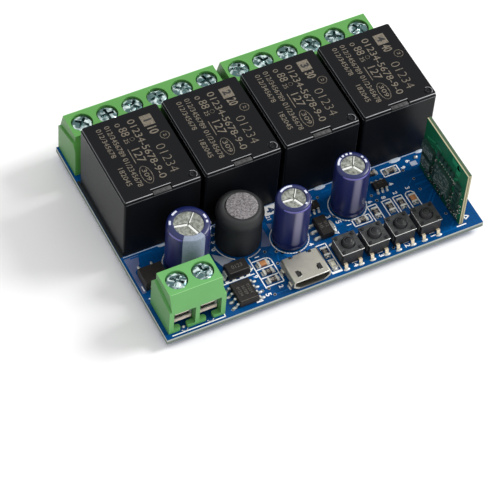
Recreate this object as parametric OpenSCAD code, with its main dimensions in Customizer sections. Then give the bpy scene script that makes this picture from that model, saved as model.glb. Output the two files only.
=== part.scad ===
// Smart relay module: a bare circuit board that carries four sealed relays, fourteen
// rising-clamp screw terminals, a buck supply, a micro USB socket, four push switches
// and an upright radio board.
// X runs right along the front edge, Y to the back and Z up. The origin is the middle
// of the board's outline at the height of the solder pin tips, which it stands on.
// Places below are measured on the board's top face, in X from the middle of its width
// and in Y from the line of the relays' front faces, so that what lies in front of the
// relays is in minus Y.

/* [Board] */
// Width of the circuit board, left to right
board_w = 64.7; // [64.7:0.1:72]
// Depth of the circuit board, front to back
board_d = 48.2; // [48.2:0.1:54]
// Thickness of the circuit board
board_t = 1.2; // [0.8:0.1:2.4]
// How far the soldered pins stand out under the board
pin_below = 1.5; // [1.4:0.1:2.4]

/* [Relays] */
// Width of a relay case, left to right
relay_w = 15.2; // [15:0.05:15.6]
// Length of a relay case, front to back
relay_l = 19; // [18.6:0.1:19.4]
// Height of a relay case above the board
relay_h = 15.5; // [15.3:0.1:18]
// Spacing of the relays along the board
relay_pitch = 16.05; // [15.9:0.05:16.2]
// Wall of a relay case
case_wall = 0.8; // [0.5:0.1:0.9]
// Swing of a relay armature between released and pulled in
armature_swing = 2.5; // [1.5:0.1:2.7]

/* [Screw terminals] */
// Spacing of the terminal poles
pole_pitch = 5.08; // [5.08:0.01:5.1]
// Height of a terminal housing
terminal_h = 10; // [9.9:0.1:12]
// Depth of a terminal housing at the board
terminal_d = 7.65; // [7.5:0.05:7.9]
// Depth of a terminal housing's top face
terminal_top_d = 5.5; // [5:0.1:5.7]
// Width of a wire entry
entry_w = 4.25; // [3.6:0.05:4.4]
// Height of the top of a wire entry above the board
entry_top = 5.5; // [5:0.1:6]
// Diameter of the well round a screw head
well_d = 4.1; // [3.95:0.05:4.3]
// Diameter of a terminal screw's head
screw_head_d = 3.75; // [3.2:0.05:3.8]
// Diameter of a terminal screw's thread
screw_d = 2.5; // [2:0.1:2.6]
// Width of a clamp cage
cage_w = 4; // [3.8:0.05:4.05]
// Front to back depth of a clamp cage
cage_d = 4.6; // [4.2:0.1:4.7]
// Thickness of a clamp cage's strip
cage_wall = 0.5; // [0.3:0.05:0.55]
// Thickness of the fixed contact bar that a wire is clamped against
bar_t = 0.8; // [0.6:0.05:0.9]

/* [Capacitors and coil] */
// Diameter of the input capacitor
input_cap_d = 8.1; // [6.3:0.1:8.3]
// Height of the input capacitor
input_cap_h = 11.9; // [8:0.1:16]
// Diameter of the two output capacitors
output_cap_d = 6.6; // [5:0.1:6.8]
// Height of the two output capacitors
output_cap_h = 12; // [8:0.1:16]
// Diameter of the sleeved storage coil
coil_d = 9; // [8:0.1:9.6]
// Height of the sleeved storage coil
coil_h = 9.8; // [8:0.1:14]

/* [USB socket] */
// Width of the USB socket's shell
usb_w = 7.5; // [7.3:0.1:7.6]
// Depth of the USB socket's shell
usb_d = 5.6; // [5:0.1:6]
// Height of the USB socket's shell
usb_h = 2.6; // [2.5:0.05:3]
// Sheet thickness of the USB socket's shell
usb_wall = 0.3; // [0.2:0.05:0.35]

/* [Push switches] */
// Side of a push switch's square body
switch_w = 4.5; // [4.3:0.1:4.7]
// Height of a push switch's cover above the board
switch_h = 3.5; // [3.4:0.1:5]
// Diameter of a switch's round button
button_d = 2.4; // [2:0.1:2.6]
// How far a button stands out of its cover
button_out = 0.8; // [0.6:0.1:3]
// Travel of a button
button_travel = 0.25; // [0.1:0.05:0.3]

/* [Radio board] */
// Length of the upright radio board
radio_l = 15.2; // [15:0.1:16.4]
// Height of the upright radio board above the main board
radio_h = 14.1; // [14:0.1:18]
// Thickness of the upright radio board
radio_t = 0.8; // [0.6:0.1:1.2]

/* [Hidden] */
$fn = 48;

// A cut runs this far past a face, so that no skin is left
eps = 0.01;
board_top = pin_below + board_t;
pin_reach = board_top;

// Clearances between pieces
pin_clear = 0.12;
cage_clear = 0.1;
screw_clear = 0.05;
shelf_clear = 0.2;
sleeve_clear = 0.02;
slide_clear = 0.1;
air_gap = 0.05;

// Board: drilled pin radii
relay_pin_r = 0.45;
terminal_pin_w = 1;
terminal_pin_t = 0.6;
lead_r = 0.3;
slot_l = radio_l - 4;

// Terminals: an own frame with Y = 0 at the wire entry face and X = 0 mid block
output_poles = 6;
power_poles = 2;
power_at = [-25.99, -18.9];
block_gap = 0.63;
blocks_mid = -0.1;
side_ledge = 0.42;
end_wall = 0.075;
top_setback = 1.15;
front_kink = 6.2;
ledge_back = 8.2;
rear_kink = 6.7;
screw_y = 3.9;
entry_wall = 1.1;
cage_y = 1.3;
floor_lip_h = 0.8;
lip_slot_w = 1.25;
bar_z = 3.3;
bar_w = cage_w - 2 * cage_wall - 0.2;
clamp_gap = 0.95;
cage_floor = bar_z - clamp_gap;
cage_plate_z = cage_floor + 3.25;
cage_plate_t = 1;
cage_top = cage_plate_z + cage_plate_t;
screw_travel_up = 0.9;
shelf_z = cage_top + screw_travel_up + 0.1;
shelf_t = 0.7;
head_z = shelf_z + shelf_t + air_gap;
recess_w = 0.55;
recess_turn = 47;
head_h = terminal_h - 0.12 - head_z;
cavity_w = cage_w + 2 * cage_clear;
leg_y = cage_y + cage_d + 0.25;
cavity_back = leg_y + terminal_pin_t;
leg_drop = 1;
entry_edge = 0.4;
rib_w = 0.3;
rib_step = 0.8;
rib_dip = 0.12;

// Width over the ledges of a block of n poles, and the two output blocks' places
function block_w(n) = n * pole_pitch + 2 * (end_wall + side_ledge);
output_x = [for (s = [-1, 1]) blocks_mid + s * (block_gap + block_w(output_poles)) / 2];

// Relays: an own frame with its origin at the case's front left corner
relays = 4;
relay_gap = 1.6;
relay_front = board_d - terminal_d - relay_gap - relay_l;
relay_mid = relay_w / 2;
base_z = 0.3;
base_top = 1.8;
yoke_t = 1;
yoke_y = 1.6;
yoke_top = 10.6;
core_r = 1.8;
pole_r = 2.8;
pole_t = 0.7;
plate_t = 0.9;
blade_t = 0.25;
contact_r = 1.1;
rivet_h = 0.55;
hinge_y = yoke_y + 0.1;
hinge_z = yoke_top + air_gap;
contact_pin_y = relay_l - 2.7;
contact_y = contact_pin_y - 0.9;
screen_y = contact_y - 2.5;
screen_t = 0.7;
bobbin_clear = 0.3;
bobbin_flange = 0.7;
bobbin_w = 11;
bobbin_d = screen_y - 1 - yoke_y - yoke_t - bobbin_clear;
pole_y = yoke_y + yoke_t + bobbin_clear + bobbin_d / 2;
winding_r = bobbin_d / 2 - 0.3;
coil_pin_x = relay_mid - 1.6;
com_y = case_wall + relay_pin_r + 0.1;
coil_pin_y = 4.1;

// Capacitors: place, sleeve diameter, height and lead spacing
cap_wall = 0.13;
cap_lip = 0.1;
vent_ratio = 0.7;
score_w = 0.38;
CAPS = [
    [-21.85, -5.85, input_cap_d, input_cap_h, 3.5, 47],
    [-2.15, -8.45, output_cap_d, output_cap_h, 2.5, 55],
    [11.1, -6.15, output_cap_d, output_cap_h, 2.5, 58]
];
coil_gap = 0.35;
coil_at = [-10.95, -coil_gap - coil_d / 2];
coil_wall = 0.75;
coil_lead = 5;

// USB socket and push switches
usb_at = [-3.25, -19.65];
switch_x = 5.65;
switch_pitch = 5.4;
switch_y = -16.15;
switches = 4;
cover_t = 0.25;
base_floor = 0.6;
button_flange_r = button_d / 2 + 0.5;
button_flange_t = 0.4;
peg_r = 0.32;
peg_in = 0.55;

// Radio board
radio_at = [27.85, -18.65];

// Chips: place, turn, body width, depth, height, leads a side, lead spacing and reach
BRIDGE = [-28.9, -6.85, 0, 4.7, 3.9, 2.3, 2, 2.54, 1.5];
BUCK = [-15.45, -16.6, 90, 4.9, 3.9, 1.45, 4, 1.27, 1.05];
DRIVER_A = [4.65, -4.05, 0, 2.9, 1.6, 1.1, 3, 0.95, 0.6];
DRIVER_B = [18.65, -4.75, 0, 2.9, 1.6, 1.1, 3, 0.95, 0.6];
CHIPS = [BRIDGE, BUCK, DRIVER_A, DRIVER_B];
diode_at = [-14.55, -11.6];
regulator_at = [4.35, -9.35];
// Two-ended parts: x, y, turn
CHIP_2 = [
    [-9.35, -11.9, 0], [-9.25, -13.85, 0], [-9.25, -15.8, 0], [2.25, -14.2, 90],
    [11.95, -10.4, 0], [15.15, -9.9, 90], [18.15, -9.9, 90], [20.5, -9.9, 90],
    [23, -9.9, 90], [22.25, -2.35, 0], [18.55, -1.55, 0], [2.25, -17.25, 90]
];
chip_l = 2;
chip_w = 1.2;
chip_h = 0.55;
cap_l = 0.4;
lead_t = 0.15;
// Underside relay drivers, one transistor and one diode beside each coil
under_y = -2.75;

function armature_x(i) = (i - (relays - 1) / 2) * relay_pitch - relay_mid;
function pole_x(n, i) = (i - (n - 1) / 2) * pole_pitch;

// Moves a piece from the middle of the relays' front line to the object's frame
module on_board() {
    translate([0, relay_front - board_d / 2, board_top]) children();
}

// Moves a piece from a relay's own frame to the board
module in_relay(i) {
    on_board() translate([armature_x(i), 0, 0]) children();
}

// Moves a piece from a terminal block's own frame to the board: 0 left, 1 right, 2 power
module in_block(b) {
    on_board() {
        if (b == 2) translate([power_at[0], power_at[1], 0]) children();
        else translate([output_x[b], board_d - relay_front, 0]) rotate([0, 0, 180]) children();
    }
}

// Extrudes an outline drawn in Y and Z along X, centred on X = 0
module along_x(w) {
    translate([-w / 2, 0, 0]) rotate([90, 0, 90]) linear_extrude(w) children();
}

// Extrudes an outline drawn in X and Z along Y, from y to y + d
module along_y(y, d) {
    translate([0, y + d, 0]) rotate([90, 0, 0]) linear_extrude(d) children();
}

// Box centred on X and Y, standing on z
module block(w, d, h, z = 0) {
    translate([-w / 2, -d / 2, z]) cube([w, d, h]);
}

// Flat rectangle with round corners, centred
module round_rect(w, d, r) {
    square([w - 2 * r, d], center = true);
    square([w, d - 2 * r], center = true);
    for (x = [-1, 1], y = [-1, 1])
        translate([x * (w / 2 - r), y * (d / 2 - r)]) circle(r);
}

// Centre of every pin hole, with its radius
function relay_pins() = [for (i = [0:relays - 1], p = [
    [0, com_y, relay_pin_r], [-coil_pin_x, coil_pin_y, relay_pin_r],
    [coil_pin_x, coil_pin_y, relay_pin_r], [-coil_pin_x, contact_pin_y, relay_pin_r],
    [coil_pin_x, contact_pin_y, relay_pin_r]])
    [armature_x(i) + relay_mid + p[0], p[1], p[2]]];
function pin_r() = norm([terminal_pin_w, terminal_pin_t]) / 2;
function pin_y() = leg_y + terminal_pin_t / 2;
function terminal_pins() = concat(
    [for (b = [0, 1], i = [0:output_poles - 1])
        [output_x[b] + pole_x(output_poles, i), board_d - relay_front - pin_y(), pin_r()]],
    [for (i = [0:power_poles - 1])
        [power_at[0] + pole_x(power_poles, i), power_at[1] + pin_y(), pin_r()]]);
function cap_pins() = [for (c = CAPS, s = [-1, 1]) [c[0] + s * c[4] / 2, c[1], lead_r]];
function coil_pins() = [for (s = [-1, 1]) [coil_at[0] + s * coil_lead / 2, coil_at[1], lead_r]];

module main_board() {
    color("#14417f") on_board() difference() {
        translate([-board_w / 2, -relay_front, -board_t]) cube([board_w, board_d, board_t]);
        for (p = concat(relay_pins(), terminal_pins(), cap_pins(), coil_pins()))
            translate([p[0], p[1], -board_t - eps])
                cylinder(r = p[2] + pin_clear, h = board_t + 2 * eps);
        translate([radio_at[0] - slide_clear, radio_at[1] + (radio_l - slot_l) / 2 - slide_clear,
                   -board_t - eps])
            cube([radio_t + 2 * slide_clear, slot_l + 2 * slide_clear, board_t + 2 * eps]);
    }
}

// Side outline of a terminal housing: upright entry face, sloped brow, stepped back
module housing_outline() {
    polygon([
        [0, 0], [0, front_kink], [top_setback, terminal_h],
        [top_setback + terminal_top_d, terminal_h], [top_setback + terminal_top_d, ledge_back],
        [terminal_d, rear_kink], [terminal_d, 0]
    ]);
}

// Side outline of the wider lower part, whose top makes the ledge at each end
module ledge_outline() {
    polygon([
        [0, 0], [0, front_kink], [0.25, front_kink + 0.15],
        [top_setback + terminal_top_d, ledge_back], [terminal_d, rear_kink], [terminal_d, 0]
    ]);
}

// Cut for one wire entry, with the floor lip that a slot for the pin divides
module entry_cut() {
    difference() {
        translate([-entry_w / 2, -eps, -eps])
            cube([entry_w, entry_wall + 2 * eps, entry_top + eps]);
        for (s = [-1, 1]) {
            lip_w = (entry_w - lip_slot_w) / 2;
            translate([s * (entry_w - lip_w) / 2, entry_wall / 2, 0])
                block(lip_w + 0.02, entry_wall - 2 * entry_edge, floor_lip_h + 0.02, -0.02);
            translate([s * (entry_w - lip_w + entry_edge) / 2, entry_wall / 2, 0])
                block(lip_w - entry_edge + 0.02, entry_wall, floor_lip_h + 0.02, -0.02);
            for (y = [entry_edge, entry_wall - entry_edge])
                translate([s * (lip_slot_w / 2 + entry_edge), y, -0.02])
                    cylinder(r = entry_edge, h = floor_lip_h + 0.02);
        }
    }
}

module terminal_housing(n) {
    upper_w = n * pole_pitch + 2 * end_wall;
    difference() {
        union() {
            along_x(upper_w) housing_outline();
            along_x(upper_w + 2 * side_ledge) ledge_outline();
        }
        for (i = [0:n - 1]) translate([pole_x(n, i), 0, 0]) {
            entry_cut();
            translate([-cavity_w / 2, entry_wall, -eps])
                cube([cavity_w, cavity_back - entry_wall, shelf_z + eps]);
            translate([0, screw_y, shelf_z - eps])
                cylinder(r = screw_d / 2 + shelf_clear, h = shelf_t + 2 * eps);
            translate([0, screw_y, shelf_z + shelf_t])
                cylinder(d = well_d, h = terminal_h);
        }
    }
}

module left_output_housing() { color("#58ad4e") in_block(0) terminal_housing(output_poles); }
module right_output_housing() { color("#58ad4e") in_block(1) terminal_housing(output_poles); }
module power_input_housing() { color("#58ad4e") in_block(2) terminal_housing(power_poles); }

// Fixed bar through the cage, and the leg behind it that is soldered in the board
module terminal_contact() {
    translate([-bar_w / 2, cage_y, bar_z]) cube([bar_w, leg_y - cage_y + eps, bar_t]);
    translate([-cavity_w / 2, leg_y, bar_z - leg_drop]) cube([cavity_w, terminal_pin_t, bar_t + leg_drop]);
    translate([-terminal_pin_w / 2, leg_y, -pin_reach])
        cube([terminal_pin_w, terminal_pin_t, pin_reach + bar_z]);
}

module terminal_contacts() {
    color("#c9cbcc") {
        for (b = [0, 1]) in_block(b)
            for (i = [0:output_poles - 1]) translate([pole_x(output_poles, i), 0, 0]) terminal_contact();
        in_block(2)
            for (i = [0:power_poles - 1]) translate([pole_x(power_poles, i), 0, 0]) terminal_contact();
    }
}

// Domed head with a cross recess, turned by the given angle, over a plain shank
module terminal_screw(turn) {
    r = screw_head_d / 2;
    rim = head_h * 0.86;
    color("#d5d8d9") difference() {
        union() {
            translate([0, 0, head_z]) cylinder(r = r, h = rim);
            intersection() {
                translate([0, 0, head_z + rim]) cylinder(r = r, h = head_h - rim);
                dome_r = (pow(r, 2) + pow(head_h - rim, 2)) / (2 * (head_h - rim));
                translate([0, 0, head_z + head_h - dome_r]) sphere(dome_r);
            }
            translate([0, 0, bar_z + bar_t + air_gap])
                cylinder(d = screw_d, h = head_z - bar_z - bar_t);
        }
        for (a = [0, 90]) rotate([0, 0, a + turn])
            block(screw_head_d * 0.72, recess_w, head_h, head_z + head_h * 0.45);
    }
}

// Bent strip ring with a thick top plate that is tapped for the screw
module terminal_cage() {
    color("#c2c4c2") difference() {
        along_y(cage_y, cage_d) difference() {
            translate([-cage_w / 2, cage_floor - cage_wall])
                square([cage_w, cage_top - cage_floor + cage_wall]);
            translate([-cage_w / 2 + cage_wall, cage_floor])
                square([cage_w - 2 * cage_wall, cage_plate_z - cage_floor]);
        }
        translate([0, screw_y, cage_plate_z - eps])
            cylinder(r = screw_d / 2 + screw_clear, h = cage_plate_t + 2 * eps);
        for (y = [0.75 * rib_step:rib_step:cage_d - rib_step / 2]) translate([0, cage_y + y, cage_floor])
            block(cage_w - 2 * cage_wall, rib_w, 1, -rib_dip);
    }
}

module output_screw(k) {
    b = k > output_poles ? 1 : 0;
    in_block(b) translate([pole_x(output_poles, output_poles - 1 - (k - 1) % output_poles), screw_y, 0])
        terminal_screw(recess_turn * k);
}

module output_cage(k) {
    b = k > output_poles ? 1 : 0;
    in_block(b) translate([pole_x(output_poles, output_poles - 1 - (k - 1) % output_poles), 0, 0])
        terminal_cage();
}

module power_screw(k) {
    in_block(2) translate([pole_x(power_poles, k - 1), screw_y, 0]) terminal_screw(recess_turn * k);
}

module power_cage(k) {
    in_block(2) translate([pole_x(power_poles, k - 1), 0, 0]) terminal_cage();
}

// Case open below, with a stepped lid line, a latch notch and a vent dimple
module relay_case() {
    lid_step = 0.15;
    lid_h = 0.7;
    notch_w = 3.8;
    difference() {
        union() {
            translate([relay_mid, relay_l / 2, 0])
                linear_extrude(relay_h - lid_h) round_rect(relay_w, relay_l, 0.4);
            translate([relay_mid, relay_l / 2, 0])
                linear_extrude(relay_h) round_rect(relay_w - 2 * lid_step, relay_l - 2 * lid_step, 0.4);
        }
        translate([case_wall, case_wall, -eps])
            cube([relay_w - 2 * case_wall, relay_l - 2 * case_wall, relay_h - case_wall + eps]);
        translate([relay_w * 0.37, -eps, relay_h - 0.35]) cube([notch_w, 1.1 + eps, 0.35 + eps]);
        translate([relay_w - 1.45, 1.4, relay_h - 0.15]) difference() {
            cylinder(r = 0.75, h = 0.15 + eps);
            translate([0, 0, -eps]) cylinder(r = 0.5, h = 0.2);
        }
    }
}

module relay_cases() { color("#191b1e") for (i = [0:relays - 1]) in_relay(i) relay_case(); }

// Base plate with stand-off feet, coil seat and the wall that screens the contacts
module relay_base() {
    w = relay_w - 2 * case_wall;
    l = relay_l - 2 * case_wall;
    foot_y = 2.2;
    difference() {
        union() {
            translate([relay_mid, relay_l / 2, 0]) block(w, l, base_top - base_z, base_z);
            for (x = [-1, 1], y = [-1, 1])
                translate([relay_mid + x * (w / 2 - 1), relay_l / 2 + y * foot_y, 0])
                    cylinder(r = 0.6, h = base_top);
            translate([case_wall + 0.4, screen_y, 0]) cube([w - 0.8, screen_t, yoke_top - 1]);
        }
        for (p = [[0, com_y], [-coil_pin_x, coil_pin_y], [coil_pin_x, coil_pin_y],
                  [-coil_pin_x, contact_pin_y], [coil_pin_x, contact_pin_y]])
            translate([relay_mid + p[0], p[1], -eps])
                cylinder(r = relay_pin_r + sleeve_clear, h = base_top + 2 * eps);
    }
}

module relay_bases() { color("#24262a") for (i = [0:relays - 1]) in_relay(i) relay_base(); }

// Bobbin with two flanges and the copper winding between them
module relay_coil() {
    low = base_top + yoke_t;
    high = yoke_top - bobbin_flange - pole_t;
    translate([relay_mid, pole_y, 0]) {
        for (z = [low, high]) difference() {
            block(bobbin_w, bobbin_d, bobbin_flange, z);
            translate([0, 0, z - eps]) cylinder(r = core_r + sleeve_clear, h = bobbin_flange + 2 * eps);
        }
        translate([0, 0, low + bobbin_flange]) difference() {
            cylinder(r = winding_r, h = high - low - bobbin_flange);
            translate([0, 0, -eps]) cylinder(r = core_r + sleeve_clear, h = high);
        }
    }
    for (s = [-1, 1]) translate([relay_mid + s * coil_pin_x, coil_pin_y, -pin_reach])
        cylinder(r = relay_pin_r, h = pin_reach + low + 0.3);
}

module relay_coils() { color("#b06a35") for (i = [0:relays - 1]) in_relay(i) relay_coil(); }

// Steel yoke in an L, with the core riveted into its foot
module relay_frame() {
    translate([relay_mid, 0, 0]) {
        along_x(10) polygon([
            [yoke_y, base_top], [pole_y + core_r + 0.6, base_top],
            [pole_y + core_r + 0.6, base_top + yoke_t], [yoke_y + yoke_t, base_top + yoke_t],
            [yoke_y + yoke_t, yoke_top], [yoke_y, yoke_top]
        ]);
        translate([0, pole_y, base_top]) cylinder(r = core_r, h = yoke_top - base_top);
        translate([0, pole_y, yoke_top - pole_t]) cylinder(r = pole_r, h = pole_t);
    }
}

module relay_frames() { color("#8b8f93") for (i = [0:relays - 1]) in_relay(i) relay_frame(); }

// Rise of the released armature's blade at the contact's far edge
rise = (contact_y + contact_r - hinge_y) * tan(armature_swing);
nc_z = hinge_z + plate_t + blade_t + rivet_h + rise + air_gap;
no_z = hinge_z + plate_t - rivet_h - air_gap;

// Fixed contact: pin, upright and finger that brings its rivet to the middle line
module fixed_contact(side, face_z, dir) {
    strip = 0.35;
    strip_w = 1.4;
    button_h = 0.45;
    finger_z = dir > 0 ? face_z + button_h : face_z - button_h - strip;
    x = relay_mid + side * coil_pin_x;
    translate([x, contact_pin_y, -pin_reach]) cylinder(r = relay_pin_r, h = pin_reach + base_top);
    translate([x, contact_pin_y, 0]) block(strip_w, strip, finger_z + strip - base_top, base_top);
    translate([side < 0 ? x - strip_w / 2 : relay_mid - contact_r, contact_y - contact_r, finger_z])
        cube([coil_pin_x + strip_w / 2 + contact_r, 2 * contact_r, strip]);
    translate([relay_mid, contact_y, dir > 0 ? face_z : face_z - button_h])
        cylinder(r = contact_r, h = button_h);
}

module relay_contact_set() {
    fixed_contact(-1, nc_z, 1);
    fixed_contact(1, no_z, -1);
    translate([relay_mid, com_y, -pin_reach]) cylinder(r = relay_pin_r, h = pin_reach + base_top);
    translate([relay_mid, com_y, 0]) block(3, 0.3, 8.4, base_top);
}

module relay_contacts() { color("#c8935a") for (i = [0:relays - 1]) in_relay(i) relay_contact_set(); }

// Armature plate on the yoke's edge, with its blade and rivet, tilted up when released
module armature(k) {
    color("#9a9ea2") in_relay(k - 1)
        translate([relay_mid, hinge_y, hinge_z]) rotate([armature_swing, 0, 0]) {
            reach = contact_y - hinge_y;
            translate([-4.5, 0, 0]) cube([9, pole_y + pole_r + 0.8 - hinge_y, plate_t]);
            translate([-2, 0.4, plate_t]) cube([4, reach + contact_r - 0.2, blade_t]);
            for (z = [plate_t - rivet_h, plate_t + blade_t])
                translate([0, reach, z]) cylinder(r = contact_r, h = rivet_h);
        }
}

// Drawn can: beaded near the foot, rolled shoulder, Y-scored top disc and two leads
module capacitor_can(c) {
    r = c[2] / 2 - cap_wall - sleeve_clear;
    top = c[3] - cap_wall - cap_lip;
    disc = r * vent_ratio;
    translate([c[0], c[1], 0]) {
        difference() {
            rotate_extrude() polygon([
                [0, 0.15], [r - 0.5, 0.15], [r, 0.5], [r, 1.3], [r - 0.35, 1.7], [r, 2.1],
                [r, top - 0.6], [r - 0.18, top - 0.18], [r - 0.6, top], [0, top]
            ]);
            for (a = [0, 120, 240]) rotate([0, 0, a + c[5]]) translate([0, 0, top]) rotate([45, 0, 0])
                translate([0, -score_w / 2, -score_w / 2]) cube([disc, score_w, score_w]);
        }
        for (s = [-1, 1]) translate([s * c[4] / 2, 0, -pin_reach])
            cylinder(r = lead_r, h = pin_reach + 0.3);
    }
}

module capacitor_cans() { color("#d3d5d2") on_board() for (c = CAPS) capacitor_can(c); }

// Shrunk sleeve: follows the bead and folds over the shoulder
module capacitor_sleeve(c) {
    r = c[2] / 2;
    in_r = r - cap_wall;
    can_top = c[3] - cap_wall - cap_lip;
    disc = (in_r - sleeve_clear) * vent_ratio;
    translate([c[0], c[1], 0]) rotate_extrude() polygon([
        [in_r - 0.45, 0], [r - 0.3, 0.05], [r, 0.4], [r, 1.35], [r - 0.3, 1.7], [r, 2.05],
        [r, can_top - 0.5], [r - 0.12, can_top], [r - 0.5, c[3]],
        [disc + 0.15, c[3]], [disc, can_top + sleeve_clear],
        [in_r - 0.6, can_top + sleeve_clear], [in_r - 0.16, can_top - 0.15],
        [in_r, can_top - 0.58], [in_r, 2.1], [in_r - 0.33, 1.7], [in_r, 1.3],
        [in_r, 0.48], [in_r - 0.45, 0.13]
    ]);
}

module capacitor_sleeves() { color("#2a2c80") on_board() for (c = CAPS) capacitor_sleeve(c); }

// Ferrite drum with the copper winding between its flanges, and its two leads
module coil_drum() {
    r = coil_d / 2 - coil_wall;
    top = coil_h - 0.35;
    color("#77777a") on_board() translate([coil_at[0], coil_at[1], 0]) {
        translate([0, 0, 0.2]) cylinder(r = r - 0.3, h = 1.4);
        translate([0, 0, 1.6]) cylinder(r = 2.1, h = top - 3);
        translate([0, 0, top - 1.4]) cylinder(r = r - 0.3, h = 1.4);
        difference() {
            translate([0, 0, 1.6]) cylinder(r = r - 0.1, h = top - 3);
            translate([0, 0, 1.5]) cylinder(r = 2.1, h = top);
        }
        for (s = [-1, 1]) translate([s * coil_lead / 2, 0, -pin_reach])
            cylinder(r = lead_r, h = pin_reach + 0.2);
    }
}

// Heat-shrunk sleeve that bulges over the upper flange, has a waist under it, and a lip drawn in
module coil_sleeve() {
    r = coil_d / 2;
    top = coil_h - 0.35;
    in_r = r - coil_wall + sleeve_clear;
    lip = coil_d * 0.305;
    color("#1b1c1e") on_board() translate([coil_at[0], coil_at[1], 0]) rotate_extrude() polygon([
        [in_r, 0], [r - 0.4, 0], [r - 0.25, 0.4], [r - 0.22, top * 0.45], [r - 0.38, top * 0.66],
        [r - 0.34, top * 0.73], [r - 0.04, top * 0.83], [r, top - 1.1], [r - 0.08, top - 0.6],
        [r - 0.32, top - 0.15], [r - 0.8, coil_h], [lip + 0.3, coil_h], [lip, top + 0.12],
        [lip, top + sleeve_clear], [in_r - 0.3, top + sleeve_clear], [in_r - 0.3, top - 1.2],
        [in_r, top - 1.35]
    ]);
}

// Mouth outline of the USB shell: a rectangle whose lower corners are cut off
module usb_outline(inset) {
    w = usb_w / 2 - inset;
    r = 0.45 - inset / 2;
    low = 0.12 + inset;
    difference() {
        translate([0, (usb_h + low - inset) / 2])
            round_rect(2 * w, usb_h - inset - low, r);
        for (s = [-1, 1])
            polygon([[s * (w + 1), low - 1], [s * (w - 1.15), low - 1], [s * (w - 1.15), low],
                     [s * w, low + 0.95], [s * (w + 1), low + 0.95]]);
    }
}

module usb_shell() {
    color("#c8c4b8") on_board() translate([usb_at[0], usb_at[1], 0]) difference() {
        union() {
            along_y(0, usb_d) usb_outline(0);
            for (s = [-1, 1], y = [1.2, 4.3])
                translate([s * (usb_w / 2 - 0.15), y, 0]) block(0.9, 1, 1.1);
        }
        along_y(-eps, usb_d - 0.9 + eps) usb_outline(usb_wall);
        for (s = [-1, 1]) {
            translate([s * 1.9, 1.45, usb_h - usb_wall - eps]) block(0.6, 1.2, 1);
            translate([s * 1.7, usb_d, usb_h - 0.35]) block(0.7, 0.7, 1);
        }
    }
}

// Insulator block that closes the socket and carries the contact tongue
module usb_insulator() {
    color("#1c1c1e") on_board() translate([usb_at[0], usb_at[1], 0]) {
        difference() {
            along_y(usb_d - 1.9, 1) usb_outline(usb_wall);
            for (s = [-1, 1]) translate([s * 1.9, 1.45, usb_h - 1]) block(0.6, 1.2, 2);
        }
        translate([-1.75, 0.8, 1.45]) cube([3.5, usb_d - 2.7, 0.55]);
    }
}

module at_switches() {
    on_board() for (i = [0:switches - 1])
        translate([switch_x + i * switch_pitch, switch_y, 0]) children();
}

// Moulded base: chamfered box with a dome well and four heat-staked pegs
module switch_base() {
    top = switch_h - cover_t;
    difference() {
        along_x(switch_w - 2 * cover_t) polygon([
            [-switch_w / 2 + 0.15, 0.1], [switch_w / 2 - 0.15, 0.1], [switch_w / 2, 0.4],
            [switch_w / 2, top], [-switch_w / 2, top], [-switch_w / 2, 0.4]
        ]);
        translate([0, 0, base_floor]) cylinder(r = button_flange_r + 0.12, h = top);
    }
    for (x = [-1, 1], y = [-1, 1])
        translate([x * (switch_w / 2 - peg_in - 0.05), y * (switch_w / 2 - peg_in), top - 0.2])
            cylinder(r = peg_r, h = cover_t + 0.45);
    block(2, 2, 0.1);
}

module switch_bases() { color("#26282a") at_switches() switch_base(); }

// Pressed cover: top plate with a round window, folded down over two sides
module switch_cover() {
    difference() {
        union() {
            block(switch_w, switch_w, cover_t, switch_h - cover_t);
            for (s = [-1, 1]) translate([s * (switch_w - cover_t) / 2, 0, 0])
                block(cover_t, switch_w - 1.2, switch_h - 1.3, 1.3);
        }
        translate([0, 0, switch_h - cover_t - eps])
            cylinder(d = button_d + 2 * slide_clear + 0.1, h = cover_t + 2 * eps);
        for (x = [-1, 1], y = [-1, 1])
            translate([x * (switch_w / 2 - peg_in - 0.05), y * (switch_w / 2 - peg_in), switch_h - 1])
                cylinder(r = peg_r + sleeve_clear, h = 2);
    }
}

module switch_covers() { color("#33363a") at_switches() switch_cover(); }

// Leg that steps down from a body's side to a flat foot on the board
module gull_lead(w, h, reach, t) {
    along_x(w) polygon([
        [0, h], [reach * 0.3, h], [reach * 0.52, 0], [reach, 0], [reach, t],
        [reach * 0.52 + 0.7 * t, t], [reach * 0.3 + 0.7 * t, h + t], [0, h + t]
    ]);
}

// Snap dome on the floor of the well, and the four legs
module switch_contact_set() {
    rest_z = switch_h - cover_t - 0.05 - button_flange_t;
    dome_z = rest_z - button_travel - 0.1;
    translate([0, 0, base_floor]) rotate_extrude() polygon([
        [1.5, 0], [1.55, 0.1], [1, dome_z - base_floor - 0.12], [0, dome_z - base_floor],
        [0, dome_z - base_floor - 0.12], [0.95, dome_z - base_floor - 0.25]
    ]);
    for (x = [-1, 1], a = [0, 180]) rotate([0, 0, a])
        translate([x * 1.5, switch_w / 2, 0]) gull_lead(0.65, 0.85, 0.95, lead_t);
}

module switch_contacts() { color("#d9cba6") at_switches() switch_contact_set(); }

// Round button with a stepped top and the flange that keeps it under the cover
module button(k) {
    flange_top = switch_h - cover_t - 0.05;
    color("#17181a") on_board() translate([switch_x + (k - 1) * switch_pitch, switch_y, 0]) {
        rotate_extrude() polygon([
            [0, flange_top - button_flange_t], [button_flange_r, flange_top - button_flange_t],
            [button_flange_r, flange_top], [button_d / 2, flange_top],
            [button_d / 2, switch_h + button_out - 0.3], [button_d / 2 - 0.12, switch_h + button_out - 0.15],
            [button_d / 2 - 0.4, switch_h + button_out - 0.15], [button_d / 2 - 0.45, switch_h + button_out],
            [0, switch_h + button_out]
        ]);
    }
}

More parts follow.
